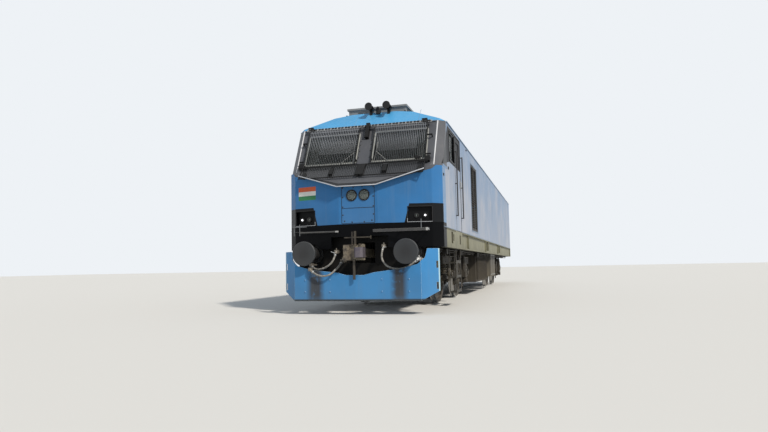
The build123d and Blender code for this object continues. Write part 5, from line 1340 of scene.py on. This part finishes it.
def copper(tree, place):
    green = add(tree, "TexNoise", place, None, grain(90), 4.0, 0.6)
    green = add(tree, "MapRange", green, 0.45, 0.62, 0.0, 0.7)
    shown = add(tree, "MixRGB", green, linear("#7A4A34"), linear("#5C7A6A"))
    return add(tree, "BsdfPrincipled", shown, Roughness=0.45, Metallic=0.7)


busbar = bmesh.new()
rod(busbar, (300, 15240, 3950), (300, 16200, 3985), 11, 14)
rod(busbar, (300, 16200, 3985), (60, 16420, 4030), 11, 14)
rod(busbar, (300, 15860, 3786), (300, 15860, 3972), 26, 18, 16)
piece("roof_busbar", busbar, finish("weathered_copper_bar", copper))

# Rear end. The plain rear wall carries the rubber gangway with its door, sockets for
# the cables to the other section and two grab rails.
dress(finish("rear_wall_enamel", enamel("#5F93C4", "#A8AFB6", 0.34, 0.42, 0.2, 1.4, 3.0)), "rear_wall")
dress(finish("creased_bellows_rubber", rubber("#1C1C1E", "#5A5853")), "gangway_bellows")
dress(finish("grey_gangway_enamel", enamel("#8D969C", "#A9A9A4", 0.2, 0.4)), "gangway_door")
dress(finish("cast_rear_coupler", cast("#4A443E", "#85795F", 0.6, 0.6, 0.25)), "rear_coupler")
SOCKET = [(0, 0), (44, 0), (46, 26), (36, 34), (0, 34)]
GRAB_STATION = 18345
rear_fittings = bmesh.new()
for x in (-1180, -980, 980, 1180):
    block(rear_fittings, (x - 60, 18296, 1660), (x + 60, 18360, 1800), 8)
    turned(rear_fittings, SOCKET, (x, 18356, 1730), BACK, 24)
for x in (-760, 760):
    rod(rear_fittings, (x, GRAB_STATION, 1900), (x, GRAB_STATION, 3200), 13, 16)
    for height in (1930, 3170):
        rod(rear_fittings, (x, 18298, height), (x, GRAB_STATION, height), 13, 16)
piece("rear_fittings", rear_fittings, fitting_black)

# Cab interior. Pale enamelled lining, a dark moulded desk with instruments, and two
# sprung seats in grey-blue wool cloth.
dress(finish("cream_lining_enamel", enamel("#A9AB9C", "#8F8D80", 0.2, 0.5)), "cab_bulkhead")
dress(finish("textured_desk_plastic", rubber("#2C2E31", "#4B4C4B")), "driver_desk")
THREAD = 3
HALF_WAVES_PER_UNIT = 6


def wool_cloth(tree, place):
    """Plain weave of 3 mm threads, drawn coarse enough to show, with a soft sheen."""
    density = grain(THREAD) / HALF_WAVES_PER_UNIT
    warp = add(tree, "TexWave", place, density, 0.6, 2.0, bands_direction="X")
    weft = add(tree, "TexWave", place, density, 0.6, 2.0, bands_direction="Z")
    weave = add(tree, "Math", warp.outputs["Fac"], weft.outputs["Fac"], operation="MULTIPLY")
    wear = add(tree, "TexNoise", place, None, grain(200), 3.0, 0.5)
    fade = add(tree, "MapRange", wear, 0.3, 0.7, 0.85, 1.1)
    shown = add(tree, "MixRGB", weave, linear("#33415A"), linear("#556781"))
    shown = add(tree, "HueSaturation", None, None, fade, None, shown)
    relief = add(tree, "Bump", Strength=0.5, Distance=0.0015, Height=weave)
    return add(tree, "BsdfPrincipled", shown, Roughness=0.9, Normal=relief, Sheen_Weight=0.3)


SEAM_HALF = 0.045
SEAM_DEEP = 0.12


def cushion(name, low, high, crown, channel):
    """A closed crowned pad whose sides pull in at the corners, with a sewn channel."""
    low, high = Vector(low), Vector(high)
    middle, half = (low + high) / 2, (high - low) / 2
    shape = bmesh.new()
    verts = bmesh.ops.create_cube(shape, size=2.0)["verts"]
    bmesh.ops.subdivide_edges(shape, edges=edges_of(verts), cuts=11, use_grid_fill=True)
    for vert in shape.verts:
        across = abs(vert.co.x)
        thin = min(range(3), key=lambda i: half[i])
        flat = [abs(vert.co[i]) for i in range(3) if i != thin]
        swell = (1 - flat[0] ** 4) * (1 - flat[1] ** 4)
        seam = math.exp(-(((across - channel) / SEAM_HALF) ** 2)) * SEAM_DEEP
        vert.co[thin] *= (1 - crown) + crown * swell - seam * (1 if abs(vert.co[thin]) > 0.5 else 0)
        for i in range(3):
            if i != thin:
                vert.co[i] *= 1 - 0.05 * vert.co[thin] ** 2 * (1 - swell)
    bmesh.ops.scale(shape, vec=half, verts=shape.verts)
    bmesh.ops.translate(shape, vec=middle, verts=shape.verts)
    made = piece(name, shape, seat_cloth, crease=80)
    rounder = made.modifiers.new("rounder", "SUBSURF")
    rounder.levels = 1
    rounder.render_levels = 1


seat_cloth = finish("blue_grey_wool_cloth", wool_cloth)
SEAT_ACROSS = 620
SEAT_STATION = 1300
CAB_FLOOR = 1680
for side, label in ((-1, "left"), (1, "right")):
    x = side * SEAT_ACROSS
    cushion("seat_cushion_" + label, (x - 235, 1070, 2084), (x + 235, 1530, 2186), 0.35, 0.5)
    cushion("seat_back_" + label, (x - 225, 1500, 2200), (x + 225, 1590, 2850), 0.35, 0.5)
COLUMN = [(0, 0), (190, 0), (190, 14), (60, 26), (48, 60), (48, 400), (0, 400)]
pedestals = bmesh.new()
for x in (-SEAT_ACROSS, SEAT_ACROSS):
    turned(pedestals, COLUMN, (x, SEAT_STATION, CAB_FLOOR), UP, 32)
    block(pedestals, (x - 200, 1100, 2052), (x + 200, 1520, 2080), 8)
    block(pedestals, (x - 60, 1540, 2040), (x + 60, 1560, 2500), 6)
pedestal = piece("seat_pedestals", pedestals, fitting_black)
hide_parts("driver_seats")
